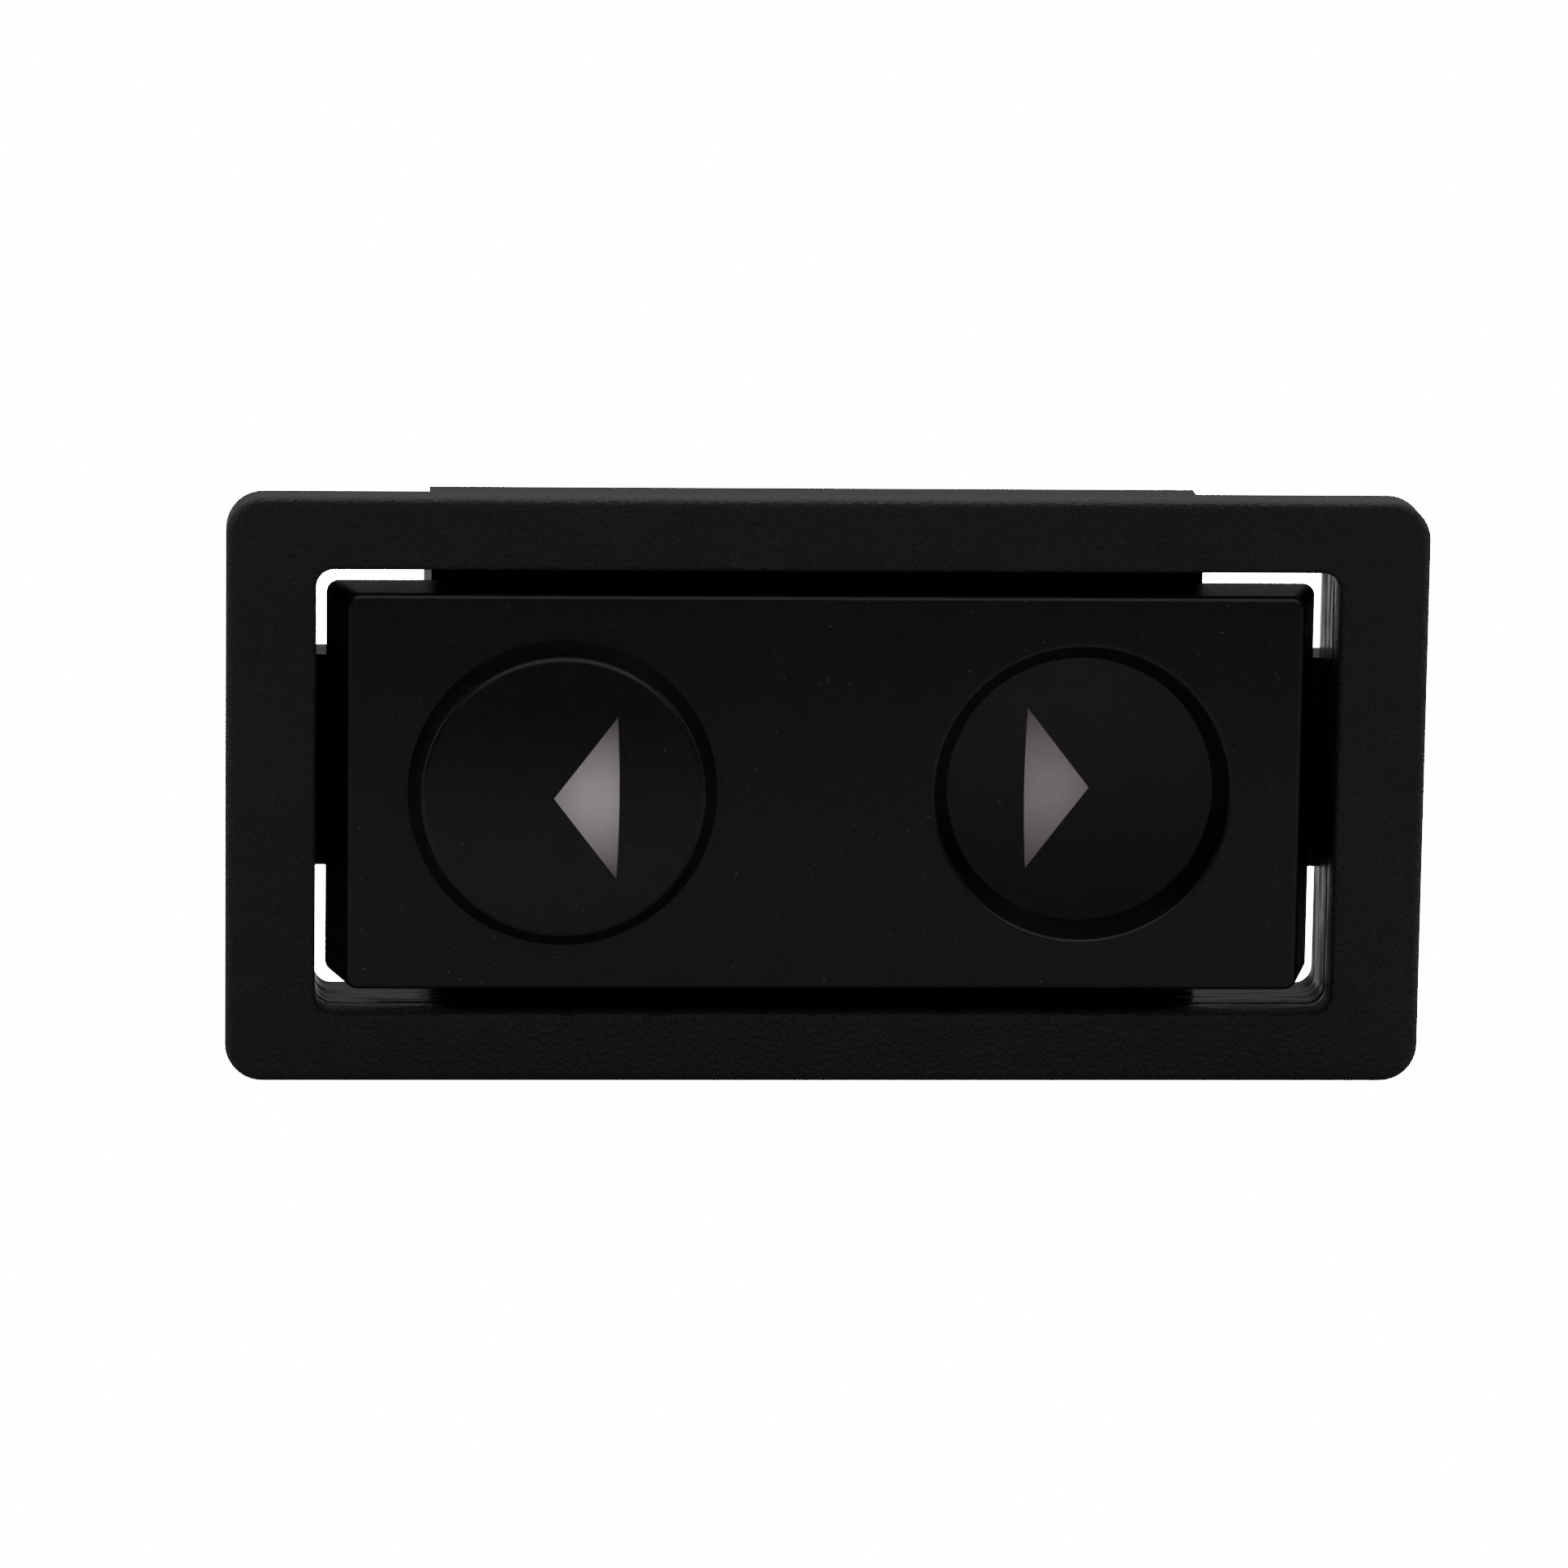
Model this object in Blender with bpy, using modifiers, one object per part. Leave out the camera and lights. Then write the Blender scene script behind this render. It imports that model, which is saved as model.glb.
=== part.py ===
"""Rocker switch for a car's electric window: a bezel with a rocker that springs back to the middle.

X runs to the right, Y to the rear and Z up. The origin is the centre of the panel's cut-out, in the plane
y = 0 where the bezel's flange seats on the panel. The rocker faces -Y and tilts about an axle along Z.
"""

import math

import bmesh
import bpy
from mathutils import Matrix, Vector

# Clearances
FIT = 0.0003                  # between pieces that touch
PAST = 0.001                  # how far a cutter or a joining form runs past its piece
ROCKER_TILT = math.radians(6.5)

# Bezel: a flange in front of the panel, and a collar that goes through it
BEZEL_WIDTH = 0.0575
BEZEL_HEIGHT = 0.0282
FLANGE_DEPTH = 0.0035
BEZEL_CORNER = 0.0018
BEZEL_EDGE_ROUND = 0.0005
OPENING_WIDTH = 0.0489
OPENING_HEIGHT = 0.0215
OPENING_CORNER = 0.00085
COLLAR_SIDE_WALL = 0.0014
COLLAR_TOP_WALL = 0.0013
COLLAR_DEPTH = 0.00415        # behind the seating plane
TOOTH_HEIGHT = 0.0052
TOOTH_DEPTH = 0.0009
TOOTH_REACH = 0.0009

# Rocker: a black cap on a carrier that turns on the axle
ROCKER_END_GAP = 0.0006       # from the skirt to the opening, at each end
ROCKER_SIDE_GAP = 0.00115     # from the rocker to the opening, above and below
ROCKER_FACE_SET_BACK = 0.0002
ROCKER_DEPTH = 0.0043
ROCKER_END_SLOPE = 0.001
ROCKER_CORNER = 0.0006
ROCKER_EDGE_ROUND = 0.00025
ROCKER_WALL = 0.0014
FACE_CLEAR = 0.003            # arrow windows and lenses start this far in front of the face
WINDOW_DEPTH = 0.008
DISC_OFFSET = 0.01245         # from the rocker's middle to each thumb disc
BOSS_BASE_RADIUS = 0.0074
BOSS_TOP_RADIUS = 0.0067
BOSS_HEIGHT = 0.0012
BOSS_CROWN = 0.00035
RECESS_LIP_RADIUS = 0.00705
RECESS_FLOOR_RADIUS = 0.0064
RECESS_DEPTH = 0.00135
RECESS_DISH = 0.00035
RECESS_CUP_WALL = 0.0011
ARROW_BASE = 0.0079
ARROW_LENGTH = 0.0032
ARROW_BASE_SHIFT = 0.0026     # from the disc's centre towards the rocker's middle
LENS_FLANGE_LIP = 0.0008
LENS_FLANGE_DEPTH = 0.0006
CARRIER_THICKNESS = 0.0013
CARRIER_BEHIND_SKIRT = 0.001
LUG_OFFSET = 0.0064
LUG_THICKNESS = 0.0016
LUG_RADIUS = 0.0019
FOOT_BASE_RADIUS = 0.0016
FOOT_TIP_RADIUS = 0.0007
LIGHT_WINDOW_HEIGHT = 0.009
LIGHT_WINDOW_FROM_LUG = 0.002
LIGHT_WINDOW_FROM_FOOT = 0.0006

# Axle
AXLE_RADIUS = 0.0008
AXLE_BEHIND_SEAT = 0.0062
AXLE_SET_IN = 0.0002          # from the housing's surface to each end of the axle

# Housing: a wide front section, a lower rear section and a partition that guides the plungers
HOUSING_WIDTH = 0.0376
HOUSING_FRONT_HEIGHT = 0.0254
HOUSING_REAR_HEIGHT = 0.02
HOUSING_WALL = 0.0012
HOUSING_FRONT_GAP = 0.00125   # from the collar to the housing's front edge
HOUSING_FRONT_DEPTH = 0.0051
PARTITION_THICKNESS = 0.0014
PARTITION_BEHIND_AXLE = 0.0024
HOUSING_REAR_DEPTH = 0.0095
AXLE_TAB_WIDTH = 0.0048
EAR_HEIGHT = 0.0104
EAR_THICKNESS = 0.003
EAR_ARM_THICKNESS = 0.0013
EAR_ARM_GAP = 0.00045         # from the collar to each arm
EAR_ARM_START = 0.0022        # leaves this much for the panel behind the flange
TOOTH_WINDOW_DEPTH = 0.003
LIGHT_HOLE_RADIUS = 0.0026

# Plungers and their return springs
PLUNGER_ARM = 0.011           # from the axle to each plunger
PLUNGER_RADIUS = 0.0025
PLUNGER_BORE_RADIUS = 0.0019
PLUNGER_HEAD = 0.0019
PLUNGER_LENGTH = 0.0114
PLUNGER_BEHIND_CARRIER = 0.0026
PLUNGER_EDGE = 0.0003
WING_SET_BACK = 0.007         # from the plunger's head to its wings
WING_THICKNESS = 0.0012
WING_WIDTH = 0.003
NUB_LENGTH = 0.0009
NUB_TIP_RADIUS = 0.0006
SPRING_RADIUS = 0.0014
SPRING_WIRE_RADIUS = 0.0002
SPRING_TURNS = 7
SPRING_SEAT_HEIGHT = 0.0008

# Contacts: two tilting bars, one above the other, each over its own common terminal
BAR_OFFSET = 0.005            # from the middle to each bar
BAR_LENGTH = 0.025
BAR_WIDTH = 0.003
BAR_THICKNESS = 0.0006
CONTACT_RADIUS = 0.0012
MOVING_CONTACT_DEPTH = 0.0007
FIXED_CONTACT_DEPTH = 0.0006
CONTACT_TRAVEL = 0.0016
TERMINAL_WIDTH = 0.0028
TERMINAL_THICKNESS = 0.0006
TERMINAL_HEAD_WIDTH = 0.0024
TERMINAL_HEAD_DEPTH = 0.0006
COMMON_SHOULDER_WIDTH = 0.003
BLADE_BEHIND_BASE = 0.0077

# Base: closes the housing, carries the terminals and forms the connector's shroud
BASE_THICKNESS = 0.002
BASE_RIM_DEPTH = 0.0028
BASE_RIM_WALL = 0.0012
BASE_TOOTH_HEIGHT = 0.006
BASE_TOOTH_DEPTH = 0.001
BASE_TOOTH_REACH = 0.0008
SHROUD_WIDTH = 0.0272
SHROUD_HEIGHT = 0.0176
SHROUD_WALL = 0.0012
SHROUD_DEPTH = 0.0097
SHROUD_CORNER = 0.0012
SHROUD_INNER_CORNER = 0.0006
KEY_WIDTH = 0.003
KEY_HEIGHT = 0.0012
KEY_DEPTH = 0.00582

# Lamp behind the arrows
SOCKET_RADIUS = 0.0029
SOCKET_BORE_RADIUS = 0.0016
SOCKET_DEPTH = 0.003
SOCKET_FLOOR = 0.0007
BULB_RADIUS = 0.0022
BULB_NECK_RADIUS = 0.0012
BULB_LENGTH = 0.0084
BULB_NECK_LENGTH = 0.0025
BULB_SHOULDER_LENGTH = 0.001
LAMP_TERMINAL_OFFSET = 0.0024

# Places that follow from the sizes above
FACE_Y = -FLANGE_DEPTH + ROCKER_FACE_SET_BACK
SKIRT_Y = FACE_Y + ROCKER_DEPTH
ROCKER_WIDTH = OPENING_WIDTH - 2 * ROCKER_END_GAP
ROCKER_HEIGHT = OPENING_HEIGHT - 2 * ROCKER_SIDE_GAP
AXLE_Y = AXLE_BEHIND_SEAT
CARRIER_FRONT_Y = SKIRT_Y + CARRIER_BEHIND_SKIRT - CARRIER_THICKNESS
CARRIER_REAR_Y = SKIRT_Y + CARRIER_BEHIND_SKIRT
HOUSING_FRONT_Y = COLLAR_DEPTH + HOUSING_FRONT_GAP
HOUSING_STEP_Y = HOUSING_FRONT_Y + HOUSING_FRONT_DEPTH
HOUSING_REAR_Y = HOUSING_STEP_Y + HOUSING_REAR_DEPTH
PARTITION_Y = AXLE_Y + PARTITION_BEHIND_AXLE
PARTITION_REAR_Y = PARTITION_Y + PARTITION_THICKNESS
PLUNGER_Y = CARRIER_REAR_Y + PLUNGER_BEHIND_CARRIER
WING_Y = PLUNGER_Y + WING_SET_BACK
NUB_Y = WING_Y + WING_THICKNESS + NUB_LENGTH
BAR_Y = NUB_Y + FIT
BAR_REAR_Y = BAR_Y + BAR_THICKNESS
MOVING_CONTACT_Y = BAR_REAR_Y + FIT
FIXED_CONTACT_Y = MOVING_CONTACT_Y + MOVING_CONTACT_DEPTH + CONTACT_TRAVEL
TERMINAL_HEAD_Y = FIXED_CONTACT_Y + FIXED_CONTACT_DEPTH + FIT
BASE_Y = HOUSING_REAR_Y + FIT
BASE_REAR_Y = BASE_Y + BASE_THICKNESS
BLADE_END_Y = BASE_REAR_Y + BLADE_BEHIND_BASE
SPRING_SEAT_Y = BASE_Y - SPRING_SEAT_HEIGHT
COLLAR_TOOTH_Y = COLLAR_DEPTH - TOOTH_DEPTH - FIT

SIDES = {"left": -1, "right": 1}
ROWS = {"upper": 1, "lower": -1}


# ---- Scene, collections and materials ----

def clear_scene():
    for obj in list(bpy.data.objects):
        bpy.data.objects.remove(obj, do_unlink=True)


def new_collection(name):
    collection = bpy.data.collections.new(name)
    bpy.context.scene.collection.children.link(collection)
    return collection


def new_material(name, colour, roughness, metallic=0.0, transmission=0.0):
    material = bpy.data.materials.new(name)
    material.use_nodes = True
    shader = material.node_tree.nodes["Principled BSDF"]
    shader.inputs["Base Color"].default_value = (*colour, 1.0)
    shader.inputs["Roughness"].default_value = roughness
    shader.inputs["Metallic"].default_value = metallic
    shader.inputs["Transmission Weight"].default_value = transmission
    return material


def add_object(name, data, place, material=None):
    """A visible part when it has a material, and otherwise a hidden cutter or form."""
    obj = bpy.data.objects.new(name, data)
    obj.location = place
    if material:
        data.materials.append(material)
        PARTS.objects.link(obj)
    else:
        obj.hide_render = True
        obj.display_type = "WIRE"
        CUTTERS.objects.link(obj)
    return obj


def axis_empty(name, place):
    empty = bpy.data.objects.new(name, None)
    empty.location = place
    PARTS.objects.link(empty)
    return empty


def hang_on(obj, axis):
    """Parents a piece to the empty on its joint's axis, and leaves it where it is."""
    obj.parent = axis
    obj.location = obj.location - axis.location
    return obj


def mesh_from(bm, name):
    mesh = bpy.data.meshes.new(name)
    bm.to_mesh(mesh)
    bm.free()
    return mesh


# ---- Shapes ----

def add_box(bm, low, high):
    size = Vector(high) - Vector(low)
    middle = (Vector(high) + Vector(low)) / 2
    matrix = Matrix.Translation(middle) @ Matrix.Diagonal((*size, 1.0))
    return bmesh.ops.create_cube(bm, size=1.0, matrix=matrix)["verts"]


def boxes(name, corners, place=(0, 0, 0), material=None):
    """One object of separate boxes, each given by its low and high corner from the object's place."""
    bm = bmesh.new()
    for low, high in corners:
        add_box(bm, low, high)
    return add_object(name, mesh_from(bm, name), place, material)


def rounded_block(name, size, corner, front_round=0.0, end_slope=0.0, place=(0, 0, 0), material=None):
    """A block from y = 0 to its depth, with its four corners rounded in front view.

    Its front edge can be rounded too, and its front can be narrower than its rear by end_slope at each end.
    """
    width, depth, height = size
    bm = bmesh.new()
    verts = add_box(bm, (-width / 2, 0, -height / 2), (width / 2, depth, height / 2))
    for vert in verts:
        if vert.co.y < depth / 2:
            vert.co.x -= math.copysign(end_slope, vert.co.x)
    corners = [edge for edge in bm.edges if abs(edge.verts[0].co.y - edge.verts[1].co.y) > depth / 2]
    bmesh.ops.bevel(bm, geom=corners, offset=corner, segments=5, affect="EDGES", profile=0.5)
    if front_round:
        front = [edge for edge in bm.edges if max(vert.co.y for vert in edge.verts) < 1e-6]
        bmesh.ops.bevel(bm, geom=front, offset=front_round, segments=3, affect="EDGES", profile=0.5)
    return add_object(name, mesh_from(bm, name), place, material)


def add_rod(bm, radius, depth, place, tip_radius=None, segments=24):
    """A round rod or cone along Y, from its place towards the rear."""
    turn = Matrix.Rotation(math.radians(-90), 4, "X")
    matrix = Matrix.Translation(Vector(place) + Vector((0, depth / 2, 0))) @ turn
    tip = radius if tip_radius is None else tip_radius
    bmesh.ops.create_cone(
        bm, cap_ends=True, segments=segments, radius1=radius, radius2=tip, depth=depth, matrix=matrix
    )


def rods(name, places, radius, depth, place=(0, 0, 0), material=None, tip_radius=None, segments=24):
    """One object of separate rods along Y."""
    bm = bmesh.new()
    for start in places:
        add_rod(bm, radius, depth, start, tip_radius, segments)
    return add_object(name, mesh_from(bm, name), place, material)


def upright_rod(name, radius, length, place, material=None):
    bm = bmesh.new()
    bmesh.ops.create_cone(bm, cap_ends=True, segments=24, radius1=radius, radius2=radius, depth=length)
    return add_object(name, mesh_from(bm, name), place, material)


def arrow_prism(name, side, grow, depth, place, material=None):
    """A triangle in front view that points away from the rocker's middle, from its place to the rear."""
    bm = bmesh.new()
    bmesh.ops.create_cone(bm, cap_ends=True, segments=3, radius1=1, radius2=1, depth=1)
    length = ARROW_LENGTH + 2.5 * grow
    base = ARROW_BASE + 4 * grow
    for vert in bm.verts:
        along, across, up = vert.co.y, vert.co.x, vert.co.z
        vert.co = (
            side * ((along + 0.5) * length / 1.5 - ARROW_BASE_SHIFT - grow),
            (up + 0.5) * depth,
            across * base / math.sqrt(3),
        )
    bmesh.ops.recalc_face_normals(bm, faces=bm.faces)
    return add_object(name, mesh_from(bm, name), place, material)


def crown(radius, rise, steps=5):
    """Points (radius, height) of a shallow crown, from just inside its rim to the axis."""
    return [
        (radius * math.cos(turn), rise * math.sin(turn))
        for turn in (math.pi / 2 * step / steps for step in range(1, steps))
    ] + [(0.0, rise)]


def turned(name, profile, place, material=None, steps=48):
    """A round solid on an axis along Y. The profile gives (radius, height), and height runs forward."""
    mesh = bpy.data.meshes.new(name)
    points = [(radius, 0.0, height) for radius, height in profile]
    mesh.from_pydata(points, [(i, i + 1) for i in range(len(points) - 1)], [])
    obj = add_object(name, mesh, place, material)
    obj.rotation_euler = (math.radians(90), 0, 0)
    screw = obj.modifiers.new("Turn", "SCREW")
    screw.steps = steps
    screw.render_steps = steps
    screw.use_merge_vertices = True
    screw.merge_threshold = 0.00001
    screw.use_smooth_shade = True
    return obj


def flat_piece(name, outline, width, place, material):
    """A stamped strip: its outline in plan, (x, y) from its place, and its width along Z."""
    curve = bpy.data.curves.new(name, "CURVE")
    curve.dimensions = "2D"
    curve.fill_mode = "BOTH"
    curve.extrude = width / 2
    spline = curve.splines.new("POLY")
    spline.points.add(len(outline) - 1)
    for point, (x, y) in zip(spline.points, outline):
        point.co = (x, y, 0, 1)
    spline.use_cyclic_u = True
    return add_object(name, curve, place, material)


def boolean(obj, tool, operation):
    modifier = obj.modifiers.new(f"{operation.title()} {tool.name}", "BOOLEAN")
    modifier.operation = operation
    modifier.object = tool


def cut(obj, *tools):
    for tool in tools:
        boolean(obj, tool, "DIFFERENCE")


def join(obj, *tools):
    for tool in tools:
        boolean(obj, tool, "UNION")


# ---- Bezel ----

def bezel_frame(material):
    size = (BEZEL_WIDTH, FLANGE_DEPTH, BEZEL_HEIGHT)
    frame = rounded_block(
        "bezel_frame", size, BEZEL_CORNER, BEZEL_EDGE_ROUND, place=(0, -FLANGE_DEPTH, 0), material=material
    )
    collar_width = OPENING_WIDTH + 2 * COLLAR_SIDE_WALL
    collar_height = OPENING_HEIGHT + 2 * COLLAR_TOP_WALL
    start = -FLANGE_DEPTH / 2
    collar_size = (collar_width, COLLAR_DEPTH - start, collar_height)
    collar = rounded_block("collar_form", collar_size, OPENING_CORNER + COLLAR_TOP_WALL, place=(0, start, 0))
    reach = collar_width / 2 + TOOTH_REACH
    low = (-reach, COLLAR_TOOTH_Y, -TOOTH_HEIGHT / 2)
    high = (reach, COLLAR_TOOTH_Y + TOOTH_DEPTH, TOOTH_HEIGHT / 2)
    teeth = boxes("collar_teeth_form", [(low, high)])
    through = FLANGE_DEPTH + COLLAR_DEPTH + 2 * PAST
    opening_size = (OPENING_WIDTH, through, OPENING_HEIGHT)
    opening_place = (0, -FLANGE_DEPTH - PAST, 0)
    opening = rounded_block("opening_cutter", opening_size, OPENING_CORNER, place=opening_place)
    join(frame, collar, teeth)
    cut(frame, opening)


# ---- Rocker ----

def boss_profile(start):
    """The raised disc, from its crown down its sloped wall to a start behind the rocker's face."""
    top = [(radius, BOSS_HEIGHT + rise) for radius, rise in reversed(crown(BOSS_TOP_RADIUS, BOSS_CROWN))]
    wall = [(BOSS_TOP_RADIUS, BOSS_HEIGHT), (BOSS_BASE_RADIUS, 0), (BOSS_BASE_RADIUS, start)]
    return top + wall + [(0, start)]


def above_boss_profile(clear):
    """Everything in front of the raised disc's crown."""
    under = [(radius, BOSS_HEIGHT + rise) for radius, rise in crown(BOSS_TOP_RADIUS, BOSS_CROWN)]
    return [(0, clear), (BOSS_TOP_RADIUS, clear), (BOSS_TOP_RADIUS, BOSS_HEIGHT)] + under


def recess_profile(clear):
    """The hollow of the dished disc, from clear of the rocker's face down to its dished floor."""
    floor = [(radius, -RECESS_DEPTH - rise) for radius, rise in crown(RECESS_FLOOR_RADIUS, RECESS_DISH)]
    wall = [(RECESS_LIP_RADIUS, clear), (RECESS_LIP_RADIUS, 0), (RECESS_FLOOR_RADIUS, -RECESS_DEPTH)]
    return [(0, clear)] + wall + floor


def cap_cavity():
    """The hollow behind the cap's face, which follows the cap's sloped ends."""
    depth = ROCKER_DEPTH - ROCKER_WALL + PAST
    slope = ROCKER_END_SLOPE * depth / ROCKER_DEPTH
    wide = ROCKER_WIDTH - 2 * ROCKER_WALL + 2 * ROCKER_END_SLOPE * PAST / ROCKER_DEPTH
    size = (wide, depth, ROCKER_HEIGHT - 2 * ROCKER_WALL)
    return rounded_block("cap_cavity_cutter", size, ROCKER_CORNER, 0, slope, (0, FACE_Y + ROCKER_WALL, 0))


def rocker_cap(axis, material):
    """The cap with its two discs, and the dish's cutter, which also shapes the right lens."""
    size = (ROCKER_WIDTH, ROCKER_DEPTH, ROCKER_HEIGHT)
    cap = rounded_block(
        "rocker_cap", size, ROCKER_CORNER, ROCKER_EDGE_ROUND, ROCKER_END_SLOPE, (0, FACE_Y, 0), material
    )
    left = (-DISC_OFFSET, FACE_Y, 0)
    right = (DISC_OFFSET, FACE_Y, 0)
    boss = turned("boss_form", boss_profile(-ROCKER_WALL / 2), left)
    cup_radius = RECESS_LIP_RADIUS + RECESS_CUP_WALL / 2
    cup_depth = RECESS_DEPTH + RECESS_DISH + RECESS_CUP_WALL
    cup_start = ROCKER_WALL / 2
    cup = rods("recess_cup_form", [(0, cup_start, 0)], cup_radius, cup_depth - cup_start, right, segments=48)
    recess = turned("recess_cutter", recess_profile(FACE_CLEAR + PAST), right)
    cut(cap, cap_cavity())
    join(cap, boss, cup)
    cut(cap, recess)
    for name, side in SIDES.items():
        window_place = (side * DISC_OFFSET, FACE_Y - FACE_CLEAR, 0)
        cut(cap, arrow_prism(f"{name}_window_cutter", side, 0, WINDOW_DEPTH, window_place))
    return hang_on(cap, axis), recess


def arrow_lens(name, axis, material, rear_y, trim):
    """A white lens that fills the arrow-shaped window, with a flange behind the cap's wall."""
    side = SIDES[name]
    front_y = FACE_Y - FACE_CLEAR
    middle = side * DISC_OFFSET
    stem_depth = rear_y + FIT + LENS_FLANGE_DEPTH / 2 - front_y
    lens = arrow_prism(f"{name}_arrow_lens", side, -FIT, stem_depth, (middle, front_y, 0), material)
    flange_place = (middle, rear_y + FIT, 0)
    flange = arrow_prism(f"{name}_lens_flange_form", side, LENS_FLANGE_LIP, LENS_FLANGE_DEPTH, flange_place)
    cut(lens, trim)
    join(lens, flange)
    return hang_on(lens, axis)


def rocker_carrier(axis, material):
    """The plate in the cap's hollow, with two lugs on the axle and a foot for each plunger."""
    end_narrowing = ROCKER_END_SLOPE * CARRIER_THICKNESS / ROCKER_DEPTH
    width = ROCKER_WIDTH - 2 * (ROCKER_WALL + end_narrowing + FIT)
    height = ROCKER_HEIGHT - 2 * (ROCKER_WALL + FIT)
    size = (width, CARRIER_THICKNESS, height)
    place = (0, CARRIER_FRONT_Y, 0)
    carrier = rounded_block("rocker_carrier", size, ROCKER_CORNER, place=place, material=material)
    start = CARRIER_REAR_Y - CARRIER_THICKNESS / 2
    lugs = []
    for row in ROWS.values():
        middle = row * LUG_OFFSET
        lugs.append(((-LUG_RADIUS, start, middle - LUG_THICKNESS / 2),
                     (LUG_RADIUS, AXLE_Y, middle + LUG_THICKNESS / 2)))
    join(carrier, boxes("lug_form", lugs))
    for name, row in ROWS.items():
        lug_place = (0, AXLE_Y, row * LUG_OFFSET)
        join(carrier, upright_rod(f"{name}_lug_end_form", LUG_RADIUS, LUG_THICKNESS, lug_place))
    places = [(side * PLUNGER_ARM, start, 0) for side in SIDES.values()]
    foot_length = PLUNGER_Y - FIT - start
    join(carrier, rods("foot_form", places, FOOT_BASE_RADIUS, foot_length, tip_radius=FOOT_TIP_RADIUS))
    windows = []
    half_window = LIGHT_WINDOW_HEIGHT / 2
    for side in SIDES.values():
        from_lug = side * (LUG_RADIUS + LIGHT_WINDOW_FROM_LUG)
        from_foot = side * (PLUNGER_ARM - FOOT_BASE_RADIUS - LIGHT_WINDOW_FROM_FOOT)
        near, far = sorted((from_lug, from_foot))
        low = (near, CARRIER_FRONT_Y - PAST, -half_window)
        high = (far, CARRIER_REAR_Y + PAST, half_window)
        windows.append((low, high))
    bore_length = 2 * (LUG_OFFSET + LUG_THICKNESS)
    bore = upright_rod("lug_bore_cutter", AXLE_RADIUS + FIT, bore_length, (0, AXLE_Y, 0))
    cut(carrier, boxes("light_window_cutter", windows), bore)
    return hang_on(carrier, axis)


# ---- Housing ----

def housing_forms():
    """The front section, the axle tabs, and the ears with the arms that hook over the collar's teeth."""
    half_width = HOUSING_WIDTH / 2
    half_front = HOUSING_FRONT_HEIGHT / 2
    arm_inner = OPENING_WIDTH / 2 + COLLAR_SIDE_WALL + EAR_ARM_GAP
    arm_outer = arm_inner + EAR_ARM_THICKNESS
    front = boxes("housing_front_form", [
        ((-half_width, HOUSING_FRONT_Y, -half_front), (half_width, HOUSING_STEP_Y, half_front))
    ])
    tab_start = COLLAR_DEPTH + FIT
    half_tab = AXLE_TAB_WIDTH / 2
    tabs = boxes("axle_tab_form", [
        ((-half_tab, tab_start, -half_front), (half_tab, HOUSING_STEP_Y - PAST, half_front))
    ])
    ear_low = (-arm_outer, HOUSING_FRONT_Y, -EAR_HEIGHT / 2)
    ear_high = (arm_outer, HOUSING_FRONT_Y + EAR_THICKNESS, EAR_HEIGHT / 2)
    ears = boxes("ear_form", [(ear_low, ear_high)])
    arm_end = HOUSING_FRONT_Y + EAR_THICKNESS / 2
    arms = []
    for side in SIDES.values():
        inner, outer = sorted((side * arm_inner, side * arm_outer))
        arms.append(((inner, EAR_ARM_START, -EAR_HEIGHT / 2), (outer, arm_end, EAR_HEIGHT / 2)))
    return front, tabs, ears, boxes("ear_arm_form", arms)


def housing(material):
    half_width = HOUSING_WIDTH / 2
    half_front = HOUSING_FRONT_HEIGHT / 2
    half_rear = HOUSING_REAR_HEIGHT / 2
    shell = boxes("housing", [
        ((-half_width, PARTITION_Y, -half_rear), (half_width, HOUSING_REAR_Y, half_rear))
    ], material=material)
    join(shell, *housing_forms())
    inner = half_width - HOUSING_WALL
    front_inner = half_front - HOUSING_WALL
    rear_inner = half_rear - HOUSING_WALL
    chambers = boxes("chamber_cutter", [
        ((-inner, COLLAR_DEPTH - PAST, -front_inner), (inner, PARTITION_Y, front_inner)),
        ((-inner, PARTITION_REAR_Y, -rear_inner), (inner, HOUSING_REAR_Y + PAST, rear_inner)),
    ])
    hole_y = PARTITION_Y - PAST
    hole_depth = PARTITION_THICKNESS + 2 * PAST
    guide_places = [(side * PLUNGER_ARM, hole_y, 0) for side in SIDES.values()]
    guides = rods("guide_cutter", guide_places, PLUNGER_RADIUS + FIT, hole_depth)
    light = rods("light_hole_cutter", [(0, hole_y, 0)], LIGHT_HOLE_RADIUS, hole_depth)
    bore = upright_rod("axle_bore_cutter", AXLE_RADIUS + FIT, HOUSING_FRONT_HEIGHT + 2 * PAST, (0, AXLE_Y, 0))
    cut(shell, chambers, guides, light, bore, tooth_windows(inner, half_width))


def tooth_windows(inner, half_width):
    """Windows in the arms for the collar's teeth, and in the side walls for the base's teeth."""
    arm_inner = OPENING_WIDTH / 2 + COLLAR_SIDE_WALL
    base_tooth_y = BASE_Y - BASE_RIM_DEPTH + FIT
    collar_half = TOOTH_HEIGHT / 2 + FIT
    base_half = BASE_TOOTH_HEIGHT / 2 + FIT
    windows = []
    for side in SIDES.values():
        near, far = sorted((side * arm_inner, side * (arm_inner + TOOTH_WINDOW_DEPTH)))
        windows.append(((near, COLLAR_TOOTH_Y - FIT, -collar_half), (far, COLLAR_DEPTH, collar_half)))
        near, far = sorted((side * (inner - FIT), side * (half_width + PAST)))
        low = (near, base_tooth_y - FIT, -base_half)
        high = (far, base_tooth_y + BASE_TOOTH_DEPTH + FIT, base_half)
        windows.append((low, high))
    return boxes("tooth_window_cutter", windows)


def pivot_pin(material):
    length = HOUSING_FRONT_HEIGHT - 2 * AXLE_SET_IN
    upright_rod("pivot_pin", AXLE_RADIUS, length, (0, AXLE_Y, 0), material)


# ---- Plungers and springs ----

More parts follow.
